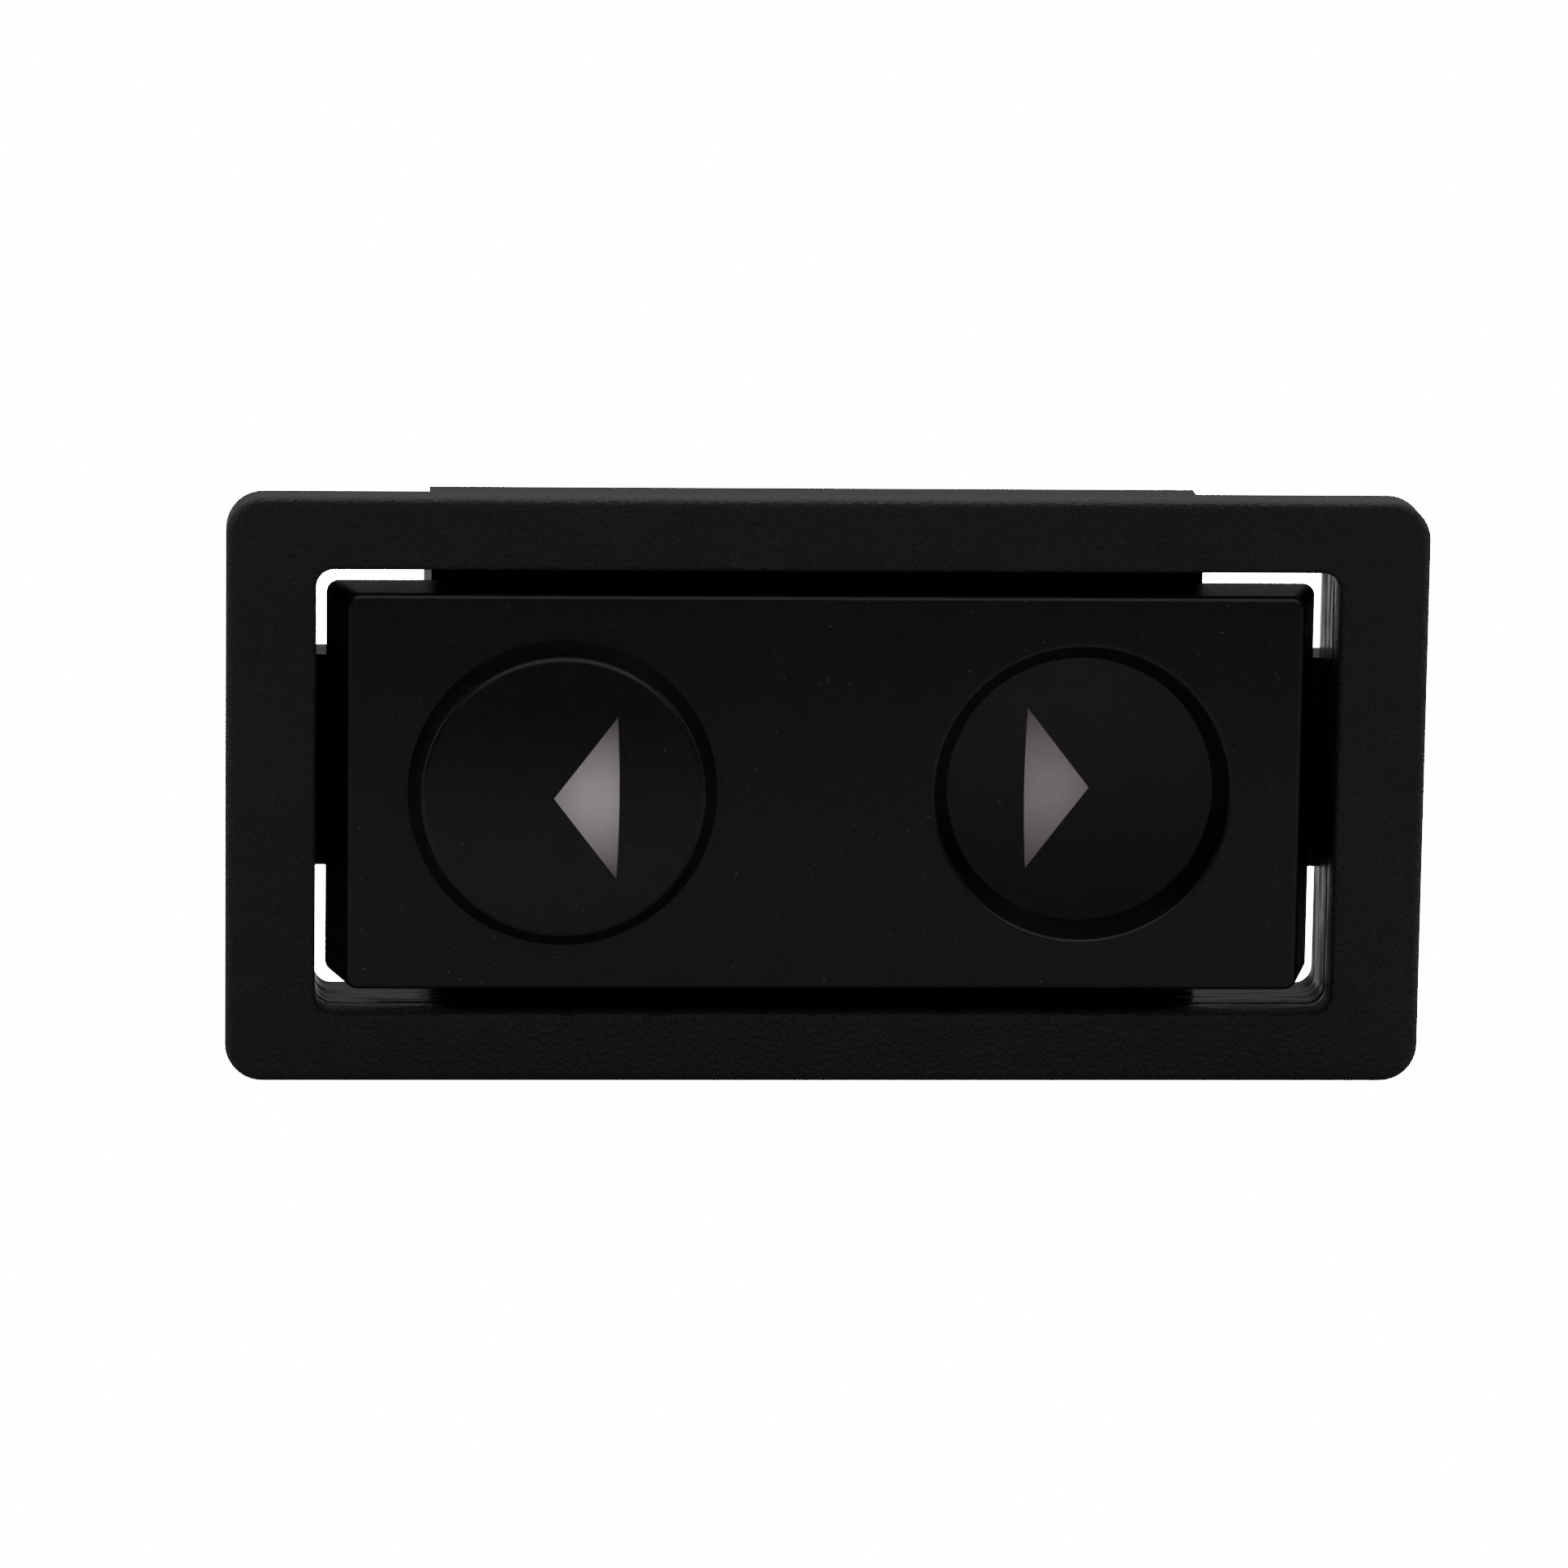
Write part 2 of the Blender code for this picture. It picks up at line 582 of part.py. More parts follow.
def plunger(name, material):
    """A hollow barrel that a foot of the carrier pushes, with a wing over the end of each contact bar."""
    place = Vector((SIDES[name] * PLUNGER_ARM, PLUNGER_Y, 0))
    axis = axis_empty(f"{name}_plunger_slide", place)
    rear = -PLUNGER_LENGTH
    barrel = turned(f"plunger_{name}", [
        (0, 0), (PLUNGER_RADIUS - PLUNGER_EDGE, 0), (PLUNGER_RADIUS, -PLUNGER_EDGE), (PLUNGER_RADIUS, rear),
        (PLUNGER_BORE_RADIUS, rear), (PLUNGER_BORE_RADIUS, -PLUNGER_HEAD), (0, -PLUNGER_HEAD),
    ], place, material, steps=24)
    wing_y = WING_Y - PLUNGER_Y
    wings = []
    nub_places = []
    for row in ROWS.values():
        near, far = sorted((row * (PLUNGER_RADIUS - PLUNGER_EDGE), row * (BAR_OFFSET + BAR_WIDTH / 2)))
        wings.append(((-WING_WIDTH / 2, wing_y, near), (WING_WIDTH / 2, wing_y + WING_THICKNESS, far)))
        nub_places.append((0, wing_y + WING_THICKNESS / 2, row * BAR_OFFSET))
    nub_length = NUB_LENGTH + WING_THICKNESS / 2
    nub_radius = WING_WIDTH / 2 - PLUNGER_EDGE
    nubs = rods(f"{name}_nub_form", nub_places, nub_radius, nub_length, place, None, NUB_TIP_RADIUS, 16)
    join(barrel, boxes(f"{name}_wing_form", wings, place), nubs)
    return hang_on(barrel, axis)


def return_spring(name, material):
    """A coil spring from the plunger's head to its seat on the base."""
    start = PLUNGER_Y + PLUNGER_HEAD + FIT + SPRING_WIRE_RADIUS
    end = SPRING_SEAT_Y - FIT - SPRING_WIRE_RADIUS
    points_per_turn = 10
    count = SPRING_TURNS * points_per_turn + 1
    curve = bpy.data.curves.new(f"return_spring_{name}", "CURVE")
    curve.dimensions = "3D"
    curve.bevel_depth = SPRING_WIRE_RADIUS
    curve.bevel_resolution = 1
    curve.use_fill_caps = True
    spline = curve.splines.new("POLY")
    spline.points.add(count - 1)
    for step, point in enumerate(spline.points):
        turn = 2 * math.pi * step / points_per_turn
        along = (end - start) * step / (count - 1)
        point.co = (SPRING_RADIUS * math.cos(turn), along, SPRING_RADIUS * math.sin(turn), 1)
    add_object(f"return_spring_{name}", curve, (SIDES[name] * PLUNGER_ARM, start, 0), material)


# ---- Contacts and terminals ----

def contact_row(row_name, bar_material, contact_material):
    """A contact bar that tilts on the common terminal, with a contact at each end and one facing it."""
    height = ROWS[row_name] * BAR_OFFSET
    axis = axis_empty(f"{row_name}_bar_axis", (0, BAR_REAR_Y, height))
    low = (-BAR_LENGTH / 2, -BAR_THICKNESS, -BAR_WIDTH / 2)
    high = (BAR_LENGTH / 2, 0, BAR_WIDTH / 2)
    bar = boxes(f"contact_bar_{row_name}", [(low, high)], (0, BAR_REAR_Y, height), bar_material)
    hang_on(bar, axis)
    for name, side in SIDES.items():
        x = side * PLUNGER_ARM
        moving = rods(f"moving_contact_{row_name}_{name}", [(0, 0, 0)], CONTACT_RADIUS, MOVING_CONTACT_DEPTH,
                      (x, MOVING_CONTACT_Y, height), contact_material)
        hang_on(moving, axis)
        rods(f"fixed_contact_{row_name}_{name}", [(0, 0, 0)], CONTACT_RADIUS, FIXED_CONTACT_DEPTH,
             (x, FIXED_CONTACT_Y, height), contact_material)


def outer_terminal(row_name, name, material):
    """A blade with a flat head that carries the fixed contact."""
    head = TERMINAL_HEAD_WIDTH / 2
    blade = TERMINAL_THICKNESS / 2
    length = BLADE_END_Y - TERMINAL_HEAD_Y
    outline = [
        (-head, 0), (head, 0), (head, TERMINAL_HEAD_DEPTH), (blade, TERMINAL_HEAD_DEPTH),
        (blade, length - blade), (blade / 2, length), (-blade / 2, length), (-blade, length - blade),
        (-blade, TERMINAL_HEAD_DEPTH), (-head, TERMINAL_HEAD_DEPTH),
    ]
    place = (SIDES[name] * PLUNGER_ARM, TERMINAL_HEAD_Y, ROWS[row_name] * BAR_OFFSET)
    flat_piece(f"terminal_{row_name}_{name}", outline, TERMINAL_WIDTH, place, material)


def common_terminal(row_name, material):
    """A blade whose knife edge carries the contact bar, with shoulders that stop on the base."""
    start = BAR_REAR_Y + FIT
    shoulder_y = BASE_Y - FIT - TERMINAL_HEAD_DEPTH - start
    shoulder = COMMON_SHOULDER_WIDTH / 2
    blade = TERMINAL_THICKNESS / 2
    length = BLADE_END_Y - start
    outline = [
        (-blade / 3, 0), (blade / 3, 0), (blade, blade), (blade, shoulder_y), (shoulder, shoulder_y),
        (shoulder, shoulder_y + TERMINAL_HEAD_DEPTH), (blade, shoulder_y + TERMINAL_HEAD_DEPTH),
        (blade, length - blade), (blade / 2, length), (-blade / 2, length), (-blade, length - blade),
        (-blade, shoulder_y + TERMINAL_HEAD_DEPTH), (-shoulder, shoulder_y + TERMINAL_HEAD_DEPTH),
        (-shoulder, shoulder_y), (-blade, shoulder_y), (-blade, blade),
    ]
    place = (0, start, ROWS[row_name] * BAR_OFFSET)
    flat_piece(f"common_terminal_{row_name}", outline, TERMINAL_WIDTH, place, material)


# ---- Base ----

def blade_slots():
    """A slot in the base for each blade."""
    half_x = TERMINAL_THICKNESS / 2 + FIT
    half_z = TERMINAL_WIDTH / 2 + FIT
    slots = []
    middles = [(x, z * BAR_OFFSET) for x in (-PLUNGER_ARM, 0, PLUNGER_ARM) for z in (-1, 1)]
    middles += [(side * LAMP_TERMINAL_OFFSET, 0) for side in SIDES.values()]
    for x, z in middles:
        slots.append(((x - half_x, BASE_Y - PAST, z - half_z), (x + half_x, BASE_REAR_Y + PAST, z + half_z)))
    return boxes("blade_slot_cutter", slots)


def terminal_base(material):
    half_width = HOUSING_WIDTH / 2
    half_height = HOUSING_REAR_HEIGHT / 2
    low = (-half_width, BASE_Y, -half_height)
    high = (half_width, BASE_REAR_Y, half_height)
    base = boxes("terminal_base", [(low, high)], material=material)
    rim_x = half_width - HOUSING_WALL - FIT
    rim_z = half_height - HOUSING_WALL - FIT
    rim_y = BASE_Y - BASE_RIM_DEPTH
    overlap = BASE_THICKNESS / 2
    rim = boxes("rim_form", [((-rim_x, rim_y, -rim_z), (rim_x, BASE_Y + overlap, rim_z))])
    tooth_x = rim_x + BASE_TOOTH_REACH
    tooth_y = rim_y + FIT
    tooth_low = (-tooth_x, tooth_y, -BASE_TOOTH_HEIGHT / 2)
    tooth_high = (tooth_x, tooth_y + BASE_TOOTH_DEPTH, BASE_TOOTH_HEIGHT / 2)
    teeth = boxes("base_teeth_form", [(tooth_low, tooth_high)])
    shroud_size = (SHROUD_WIDTH, SHROUD_DEPTH + overlap, SHROUD_HEIGHT)
    shroud = rounded_block("shroud_form", shroud_size, SHROUD_CORNER, place=(0, BASE_REAR_Y - overlap, 0))
    cavity_size = (SHROUD_WIDTH - 2 * SHROUD_WALL, SHROUD_DEPTH + PAST, SHROUD_HEIGHT - 2 * SHROUD_WALL)
    cavity_place = (0, BASE_REAR_Y, 0)
    cavity = rounded_block("shroud_cavity_cutter", cavity_size, SHROUD_INNER_CORNER, place=cavity_place)
    inner_x = rim_x - BASE_RIM_WALL
    inner_z = rim_z - BASE_RIM_WALL
    rim_low = (-inner_x, rim_y - PAST, -inner_z)
    rim_cavity = boxes("rim_cavity_cutter", [(rim_low, (inner_x, BASE_Y, inner_z))])
    key_z = SHROUD_HEIGHT / 2
    key = boxes("shroud_key_form", [
        ((-KEY_WIDTH / 2, BASE_REAR_Y - overlap, key_z - SHROUD_WALL / 2),
         (KEY_WIDTH / 2, BASE_REAR_Y + KEY_DEPTH, key_z + KEY_HEIGHT))
    ])
    seat_places = [(side * PLUNGER_ARM, SPRING_SEAT_Y, 0) for side in SIDES.values()]
    seat_length = BASE_Y + overlap - SPRING_SEAT_Y
    join(base, rim, teeth, shroud)
    cut(base, cavity, rim_cavity)
    join(base, rods("spring_seat_form", seat_places, PLUNGER_BORE_RADIUS, seat_length, segments=16), key)
    cut(base, blade_slots())


# ---- Lamp ----

def lamp(glass, socket_material, terminal_material):
    """A small wedge-base lamp on the axis, its socket on the base, and its two blades."""
    socket_rear = BASE_Y - FIT
    socket_front = socket_rear - SOCKET_DEPTH
    floor = -SOCKET_DEPTH + SOCKET_FLOOR
    socket_profile = [
        (SOCKET_RADIUS, 0), (SOCKET_RADIUS, -SOCKET_DEPTH), (0, -SOCKET_DEPTH),
        (0, floor), (SOCKET_BORE_RADIUS, floor), (SOCKET_BORE_RADIUS, 0), (SOCKET_RADIUS, 0),
    ]
    turned("lamp_socket", socket_profile, (0, socket_front, 0), socket_material, steps=24)
    bulb_rear = socket_front - floor - FIT
    shoulder_y = BULB_NECK_LENGTH + BULB_SHOULDER_LENGTH
    dome = [
        (BULB_RADIUS * math.cos(turn), BULB_LENGTH - BULB_RADIUS + BULB_RADIUS * math.sin(turn))
        for turn in (math.pi / 2 * step / 4 for step in range(3, -1, -1))
    ]
    profile = [(0, BULB_LENGTH)] + dome + [
        (BULB_RADIUS, shoulder_y), (BULB_NECK_RADIUS, BULB_NECK_LENGTH), (BULB_NECK_RADIUS, 0), (0, 0)
    ]
    turned("lamp_bulb", profile, (0, bulb_rear, 0), glass, steps=24)
    for name, side in SIDES.items():
        blade = TERMINAL_THICKNESS / 2
        start = BASE_Y
        length = BLADE_END_Y - start
        outline = [(-blade, 0), (blade, 0), (blade, length - blade), (blade / 2, length),
                   (-blade / 2, length), (-blade, length - blade)]
        place = (side * LAMP_TERMINAL_OFFSET, start, 0)
        flat_piece(f"lamp_terminal_{name}", outline, TERMINAL_WIDTH, place, terminal_material)


# ---- Assembly ----

def build():
    grained_black = new_material("grained black plastic", (0.012, 0.012, 0.012), 0.55)
    matte_black = new_material("matte black plastic", (0.009, 0.009, 0.009), 0.45)
    black_nylon = new_material("black nylon", (0.02, 0.02, 0.02), 0.6)
    dark_base = new_material("dark brown thermoset", (0.03, 0.02, 0.015), 0.6)
    white_lens = new_material("white translucent lens", (0.75, 0.75, 0.72), 0.4)
    ivory_nylon = new_material("ivory nylon", (0.7, 0.66, 0.55), 0.5)
    steel = new_material("steel", (0.55, 0.55, 0.56), 0.25, 1.0)
    spring_steel = new_material("spring steel", (0.4, 0.4, 0.42), 0.3, 1.0)
    bronze = new_material("phosphor bronze", (0.6, 0.38, 0.2), 0.3, 1.0)
    brass = new_material("tinned brass", (0.65, 0.6, 0.48), 0.3, 1.0)
    silver = new_material("contact silver", (0.85, 0.85, 0.83), 0.2, 1.0)
    glass = new_material("lamp glass", (0.95, 0.95, 0.95), 0.05, 0.0, 1.0)

    bezel_frame(grained_black)
    housing(black_nylon)
    pivot_pin(steel)

    rocker_axis = axis_empty("rocker_axis", (0, AXLE_Y, 0))
    _, recess = rocker_cap(rocker_axis, matte_black)
    above_boss = turned("above_boss_cutter", above_boss_profile(0.005), (-DISC_OFFSET, FACE_Y, 0))
    arrow_lens("left", rocker_axis, white_lens, FACE_Y + ROCKER_WALL, above_boss)
    cup_rear = FACE_Y + RECESS_DEPTH + RECESS_DISH + RECESS_CUP_WALL
    arrow_lens("right", rocker_axis, white_lens, cup_rear, recess)
    rocker_carrier(rocker_axis, black_nylon)

    for name in SIDES:
        plunger(name, ivory_nylon)
        return_spring(name, spring_steel)
    for row_name in ROWS:
        contact_row(row_name, bronze, silver)
        common_terminal(row_name, brass)
        for name in SIDES:
            outer_terminal(row_name, name, brass)
    terminal_base(dark_base)
    lamp(glass, ivory_nylon, brass)


def shade_round_pieces():
    for obj in PARTS.objects:
        if obj.type == "MESH":
            obj.data.shade_smooth()
            obj.data.set_sharp_from_angle(angle=math.radians(30))


clear_scene()
PARTS = new_collection("window_rocker_switch")
CUTTERS = new_collection("cutters")
build()
shade_round_pieces()
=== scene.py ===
import math

import bmesh
import bpy
from bpy.props import FloatProperty, FloatVectorProperty, PointerProperty, StringProperty
from mathutils import Matrix, Vector


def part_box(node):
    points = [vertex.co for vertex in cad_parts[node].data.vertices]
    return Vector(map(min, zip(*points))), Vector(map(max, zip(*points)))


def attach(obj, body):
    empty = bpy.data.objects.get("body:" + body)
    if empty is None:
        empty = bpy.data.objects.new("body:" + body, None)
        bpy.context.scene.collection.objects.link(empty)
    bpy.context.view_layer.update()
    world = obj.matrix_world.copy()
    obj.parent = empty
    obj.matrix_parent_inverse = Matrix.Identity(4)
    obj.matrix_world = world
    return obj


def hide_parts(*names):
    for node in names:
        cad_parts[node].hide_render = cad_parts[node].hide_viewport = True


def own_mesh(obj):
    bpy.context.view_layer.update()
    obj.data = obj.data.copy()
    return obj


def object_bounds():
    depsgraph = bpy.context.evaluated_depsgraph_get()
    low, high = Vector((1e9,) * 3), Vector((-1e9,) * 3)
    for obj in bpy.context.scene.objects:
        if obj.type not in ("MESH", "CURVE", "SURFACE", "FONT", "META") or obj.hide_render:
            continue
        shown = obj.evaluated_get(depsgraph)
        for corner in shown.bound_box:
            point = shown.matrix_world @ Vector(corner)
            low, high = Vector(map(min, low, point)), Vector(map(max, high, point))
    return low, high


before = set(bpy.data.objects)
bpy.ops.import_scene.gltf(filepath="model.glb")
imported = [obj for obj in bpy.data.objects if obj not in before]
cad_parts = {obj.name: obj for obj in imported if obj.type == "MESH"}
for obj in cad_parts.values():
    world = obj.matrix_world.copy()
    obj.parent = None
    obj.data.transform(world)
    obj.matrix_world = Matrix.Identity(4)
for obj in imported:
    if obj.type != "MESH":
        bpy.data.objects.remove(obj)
CAD_LOW, CAD_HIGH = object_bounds()

bl_info = {
    "name": "Window rocker switch",
    "version": (1, 0, 0),
    "blender": (4, 5, 0),
    "location": "3D View > Sidebar > Rocker switch",
    "description": "Finishes a car's electric-window rocker switch around its packed solids",
    "category": "Object",
}

# X runs right, Y to the rear and Z up, in metres. The bezel's flange seats on the panel at y = 0.
MM = 0.001
BEZEL_LOW, BEZEL_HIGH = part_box("bezel_frame")
CAP_LOW, CAP_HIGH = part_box("rocker_cap")
LENS_BOXES = {side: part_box(f"{side}_arrow_lens") for side in ("left", "right")}
SIDES = {"left": -1, "right": 1}
ROWS = {"upper": 1, "lower": -1}

# How far the grain runs into the opening, and the collar that goes through the panel.
GRAIN_DEPTH = 2.7 * MM
GRAIN_FADE = 2.2 * MM
COLLAR_SIDE_WALL = 1.4 * MM
COLLAR_TOP_WALL = 1.3 * MM
LEAD_IN = 0.3 * MM
TOOTH_REACH = 0.9 * MM
TOOTH_LENGTH = 0.9 * MM
TOOTH_HALF_HEIGHT = 2.6 * MM
TOOTH_SINK = 0.2 * MM

# The rocker's edges.
BOSS_EDGE = 0.2 * MM
BOSS_SINK = 0.7 * MM
DISH_EDGE = 0.25 * MM
SKIRT_LIP = 0.1 * MM
CAP_CORNER = 0.6 * MM
CUP_WALL = 0.55 * MM
CUP_BACK = 1.1 * MM
LENS_SINK = 0.015 * MM
LENS_CLEARANCE = 0.012 * MM
LENS_FLANGE = 0.8 * MM
FLANGE_THICKNESS = 0.6 * MM

# Roundings that a press tool or a rivet header leaves.
STRIP_EDGE = 0.06 * MM
CONTACT_EDGE = 0.15 * MM

# The return springs.
SPRING_WIRE = 0.2 * MM
SPRING_TURNS = 9.0

# The ribs along the housing's rear section.
RIB_COUNT = 9
RIB_SPACING = 4.2 * MM
RIB_WIDTH = 0.8 * MM
RIB_LENGTH = 8.6 * MM
RIB_HEIGHT = 0.5 * MM
RIB_MIDDLE = 4.9 * MM

# The lamp's glass, measured from the bulb's rear end.
BULB_STEPS = 48
GLASS_WALL = 0.3 * MM
NECK_RADIUS = 1.2 * MM
NECK_START = 3.5 * MM
NECK_END = 2.5 * MM


# ---- Sizes and colours that a user would change ----

def size_setting(name, description, default):
    """A length in metres."""
    return FloatProperty(name=name, description=description, default=default, unit="LENGTH")


class BezelSettings(bpy.types.PropertyGroup):
    rim_side: size_setting("Side rim", "Flange width left and right of the opening", 0.0043)
    rim_top: size_setting("Top rim", "Flange width above and below the opening", 0.00335)
    corner: size_setting("Corner", "Radius of the outer corners", 0.0018)
    opening_corner: size_setting("Opening corner", "Radius of the opening's corners", 0.00085)
    edge_round: size_setting("Edge rounding", "Radius of the flange's front edge", 0.0005)
    colour: StringProperty(
        name="Colour", description="sRGB hex colour of the grained plastic", default="292627")
    grain: size_setting("Grain", "Width of one pebble of the moulded grain", 0.00022)


class RockerSettings(bpy.types.PropertyGroup):
    wall: size_setting("Wall", "Thickness of the cap's walls", 0.0014)
    end_slope: size_setting("End slope", "How much narrower the face is than the skirt, at each end", 0.001)
    edge_round: size_setting("Edge rounding", "Radius of the face's edges", 0.0003)
    disc_offset: size_setting("Disc offset", "From the rocker's middle to each thumb disc", 0.01245)
    disc_shift: size_setting("Disc shift", "How far both discs sit right of their even places", -0.00022)
    side_play: size_setting("Side play", "How far right of the middle the cap lies in its play", -0.0001)
    boss_base: size_setting("Boss base", "Radius of the raised disc at the face", 0.0074)
    boss_top: size_setting("Boss top", "Radius of the raised disc's top", 0.0067)
    boss_height: size_setting("Boss height", "Height of the raised disc's edge", 0.0012)
    lip: size_setting("Dish lip", "Radius of the dish at the face", 0.00705)
    floor: size_setting("Dish floor", "Radius of the dish's floor", 0.0064)
    depth: size_setting("Dish depth", "Depth of the dish's edge", 0.00135)
    crown: size_setting("Crown", "Rise of the raised disc and fall of the dish", 0.00035)
    colour: StringProperty(
        name="Colour", description="sRGB hex colour of the satin plastic", default="161211")


class ArrowSettings(bpy.types.PropertyGroup):
    base: size_setting("Base", "Length of an arrow's base", 0.0079)
    length: size_setting("Length", "From an arrow's base to its tip", 0.00306)
    shift: size_setting("Shift", "From the disc's centre to the arrow's base", 0.00256)
    bow: size_setting("Bow", "How far the arrow's base bows out", 0.0001)


class StageSettings(bpy.types.PropertyGroup):
    distance: size_setting("Camera distance", "From the camera to the point it looks at", 0.40355)
    azimuth: FloatProperty(
        name="Azimuth", description="How far left of the front the camera stands",
        default=math.radians(3.776), subtype="ANGLE")
    elevation: FloatProperty(
        name="Elevation", description="How far above the front the camera stands",
        default=math.radians(10.485), subtype="ANGLE")
    roll: FloatProperty(
        name="Roll", description="Turn of the camera", default=math.radians(0.825), subtype="ANGLE")
    lens: FloatProperty(
        name="Lens", description="Focal length on a 36 mm sensor, in millimetres", default=193.96)
    aim: FloatVectorProperty(
        name="Aim", description="The point that the camera looks at",
        default=(-0.00211, -0.0035, 0.0005), subtype="TRANSLATION", size=3)


SETTINGS = {
    "switch_bezel": BezelSettings,
    "switch_rocker": RockerSettings,
    "switch_arrow": ArrowSettings,
    "switch_stage": StageSettings,
}


# ---- Colours and shader nodes ----

def linear(hex_text):
    """An sRGB hex colour as linear RGBA."""
    channels = [int(hex_text[start:start + 2], 16) / 255 for start in (0, 2, 4)]
    return (*[c / 12.92 if c <= 0.04045 else ((c + 0.055) / 1.055) ** 2.4 for c in channels], 1.0)


def add_node(tree, kind, inputs=None, **settings):
    """Adds a node, sets its properties, and links or sets each of its inputs."""
    made = tree.nodes.new(kind)
    for name, value in settings.items():
        setattr(made, name, value)
    for name, value in (inputs or {}).items():
        if isinstance(value, bpy.types.NodeSocket):
            tree.links.new(value, made.inputs[name])
        else:
            made.inputs[name].default_value = value
    return made


def new_material(name, **surface):
    """A material with one Principled shader, whose plain values are set on its own sockets."""
    material = bpy.data.materials.new(name)
    material.use_nodes = True
    tree = material.node_tree
    tree.nodes.clear()
    shader = add_node(tree, "ShaderNodeBsdfPrincipled", surface)
    output = add_node(tree, "ShaderNodeOutputMaterial")
    tree.links.new(shader.outputs["BSDF"], output.inputs["Surface"])
    coordinates = add_node(tree, "ShaderNodeTexCoord").outputs["Object"]
    return material, tree, shader, coordinates


def math_node(tree, operation, first, second):
    """One step of arithmetic between sockets or numbers."""
    return add_node(tree, "ShaderNodeMath", {0: first, 1: second}, operation=operation).outputs["Value"]


def ramp(tree, factor, *stops):
    """A colour ramp with the given (position, colour) stops."""
    made = add_node(tree, "ShaderNodeValToRGB", {"Fac": factor})
    elements = made.color_ramp.elements
    while len(elements) < len(stops):
        elements.new(0.5)
    for element, (position, colour) in zip(elements, stops):
        element.position = position
        element.color = colour
    return made.outputs["Color"]


def grey(value):
    return (value, value, value, 1.0)


def stretched(tree, coordinates, scale):
    """Coordinates whose pattern is drawn out along every axis with a scale under 1."""
    return add_node(tree, "ShaderNodeMapping", {"Vector": coordinates, "Scale": scale}).outputs["Vector"]


def noise(tree, coordinates, size, detail=3.0, roughness=0.55):
    """Noise whose features are about as wide as the given size in metres."""
    made = add_node(tree, "ShaderNodeTexNoise", {
        "Vector": coordinates, "Scale": 1 / size, "Detail": detail, "Roughness": roughness})
    return made.outputs["Fac"]


def pebbles(tree, coordinates, size):
    """Rounded cells about as wide as the given size in metres, with narrow valleys between them."""
    made = add_node(tree, "ShaderNodeTexVoronoi", {
        "Vector": coordinates, "Scale": 1 / size, "Smoothness": 0.35, "Randomness": 1.0}, feature="SMOOTH_F1")
    return made.outputs["Distance"]


def bump(tree, shader, height, depth, below=None):
    """Relief of the given depth in metres. A second layer goes over the first."""
    inputs = {"Height": height, "Strength": 1.0, "Distance": depth}
    if below:
        inputs["Normal"] = below
    normal = add_node(tree, "ShaderNodeBump", inputs).outputs["Normal"]
    tree.links.new(normal, shader.inputs["Normal"])
    return normal


def blend_colours(tree, factor, first, second):
    mix = add_node(tree, "ShaderNodeMix", {"Factor": factor}, data_type="RGBA")
    for socket, value in ((mix.inputs[6], first), (mix.inputs[7], second)):
        if isinstance(value, bpy.types.NodeSocket):
            tree.links.new(value, socket)
        else:
            socket.default_value = value
    return mix.outputs[2]


def dust_on(tree, coordinates, colour):
    """Sparse pale specks over a colour, as on plastic that has lain in the open."""
    speck = noise(tree, coordinates, 0.00012, detail=0.0)
    cover = ramp(tree, speck, (0.87, grey(0)), (0.89, grey(0.55)))
    return blend_colours(tree, cover, colour, linear("8A8683"))


# ---- Finishes ----

def in_opening(tree, place):
    """1 on the walls of the bezel's opening, and 0 everywhere outside them."""
    bezel = bpy.context.scene.switch_bezel
    past = 0.5 * MM
    parts = add_node(tree, "ShaderNodeSeparateXYZ", {0: place})
    half_sizes = {"X": BEZEL_HIGH.x - bezel.rim_side + past, "Z": BEZEL_HIGH.z - bezel.rim_top + past}
    inside = [math_node(tree, "COMPARE", parts.outputs[axis], 0.0) for axis in half_sizes]
    for node, half_size in zip(inside, half_sizes.values()):
        node.node.inputs[2].default_value = half_size
    return math_node(tree, "MULTIPLY", *inside)


def grained_abs():
    """Moulded ABS: a pebble grain in front, and a smooth, glossier collar with tool lines inside."""
    bezel = bpy.context.scene.switch_bezel
    material, tree, shader, place = new_material(
        "grained moulded ABS", **{"Roughness": 0.5, "IOR": 1.5, "Specular IOR Level": 0.35})
    depth = add_node(tree, "ShaderNodeSeparateXYZ", {0: place}).outputs["Y"]
    fade = add_node(tree, "ShaderNodeMapRange", {
        "Value": depth, "From Min": groove_y() - GRAIN_FADE, "From Max": groove_y()})
    grained = ramp(tree, fade.outputs[0], (0.0, grey(1)), (1.0, grey(0)))
    grain = pebbles(tree, place, bezel.grain)
    fine = noise(tree, place, bezel.grain / 2)
    relief = math_node(tree, "MULTIPLY", math_node(tree, "ADD", grain, fine), grained)
    wall = in_opening(tree, place)
    lines = noise(tree, stretched(tree, place, (0.12, 1.0, 0.12)), 0.00045)
    scores = bump(tree, shader, math_node(tree, "MULTIPLY", lines, wall), 0.00004)
    polish = blend_colours(tree, wall, grey(0.28), ramp(tree, lines, (0.42, grey(0.13)), (0.6, grey(0.42))))
    bump(tree, shader, relief, 0.00009, below=scores)
    cloud = noise(tree, place, 0.006)
    dark = linear(bezel.colour)
    pale = tuple(channel * 1.2 for channel in dark[:3]) + (1.0,)
    colour = blend_colours(tree, ramp(tree, cloud, (0.35, grey(0)), (0.7, grey(1))), dark, pale)
    tree.links.new(dust_on(tree, place, colour), shader.inputs["Base Color"])
    dull = ramp(tree, grain, (0.0, grey(0.44)), (0.7, grey(0.6)))
    tree.links.new(blend_colours(tree, grained, polish, dull), shader.inputs["Roughness"])
    return material


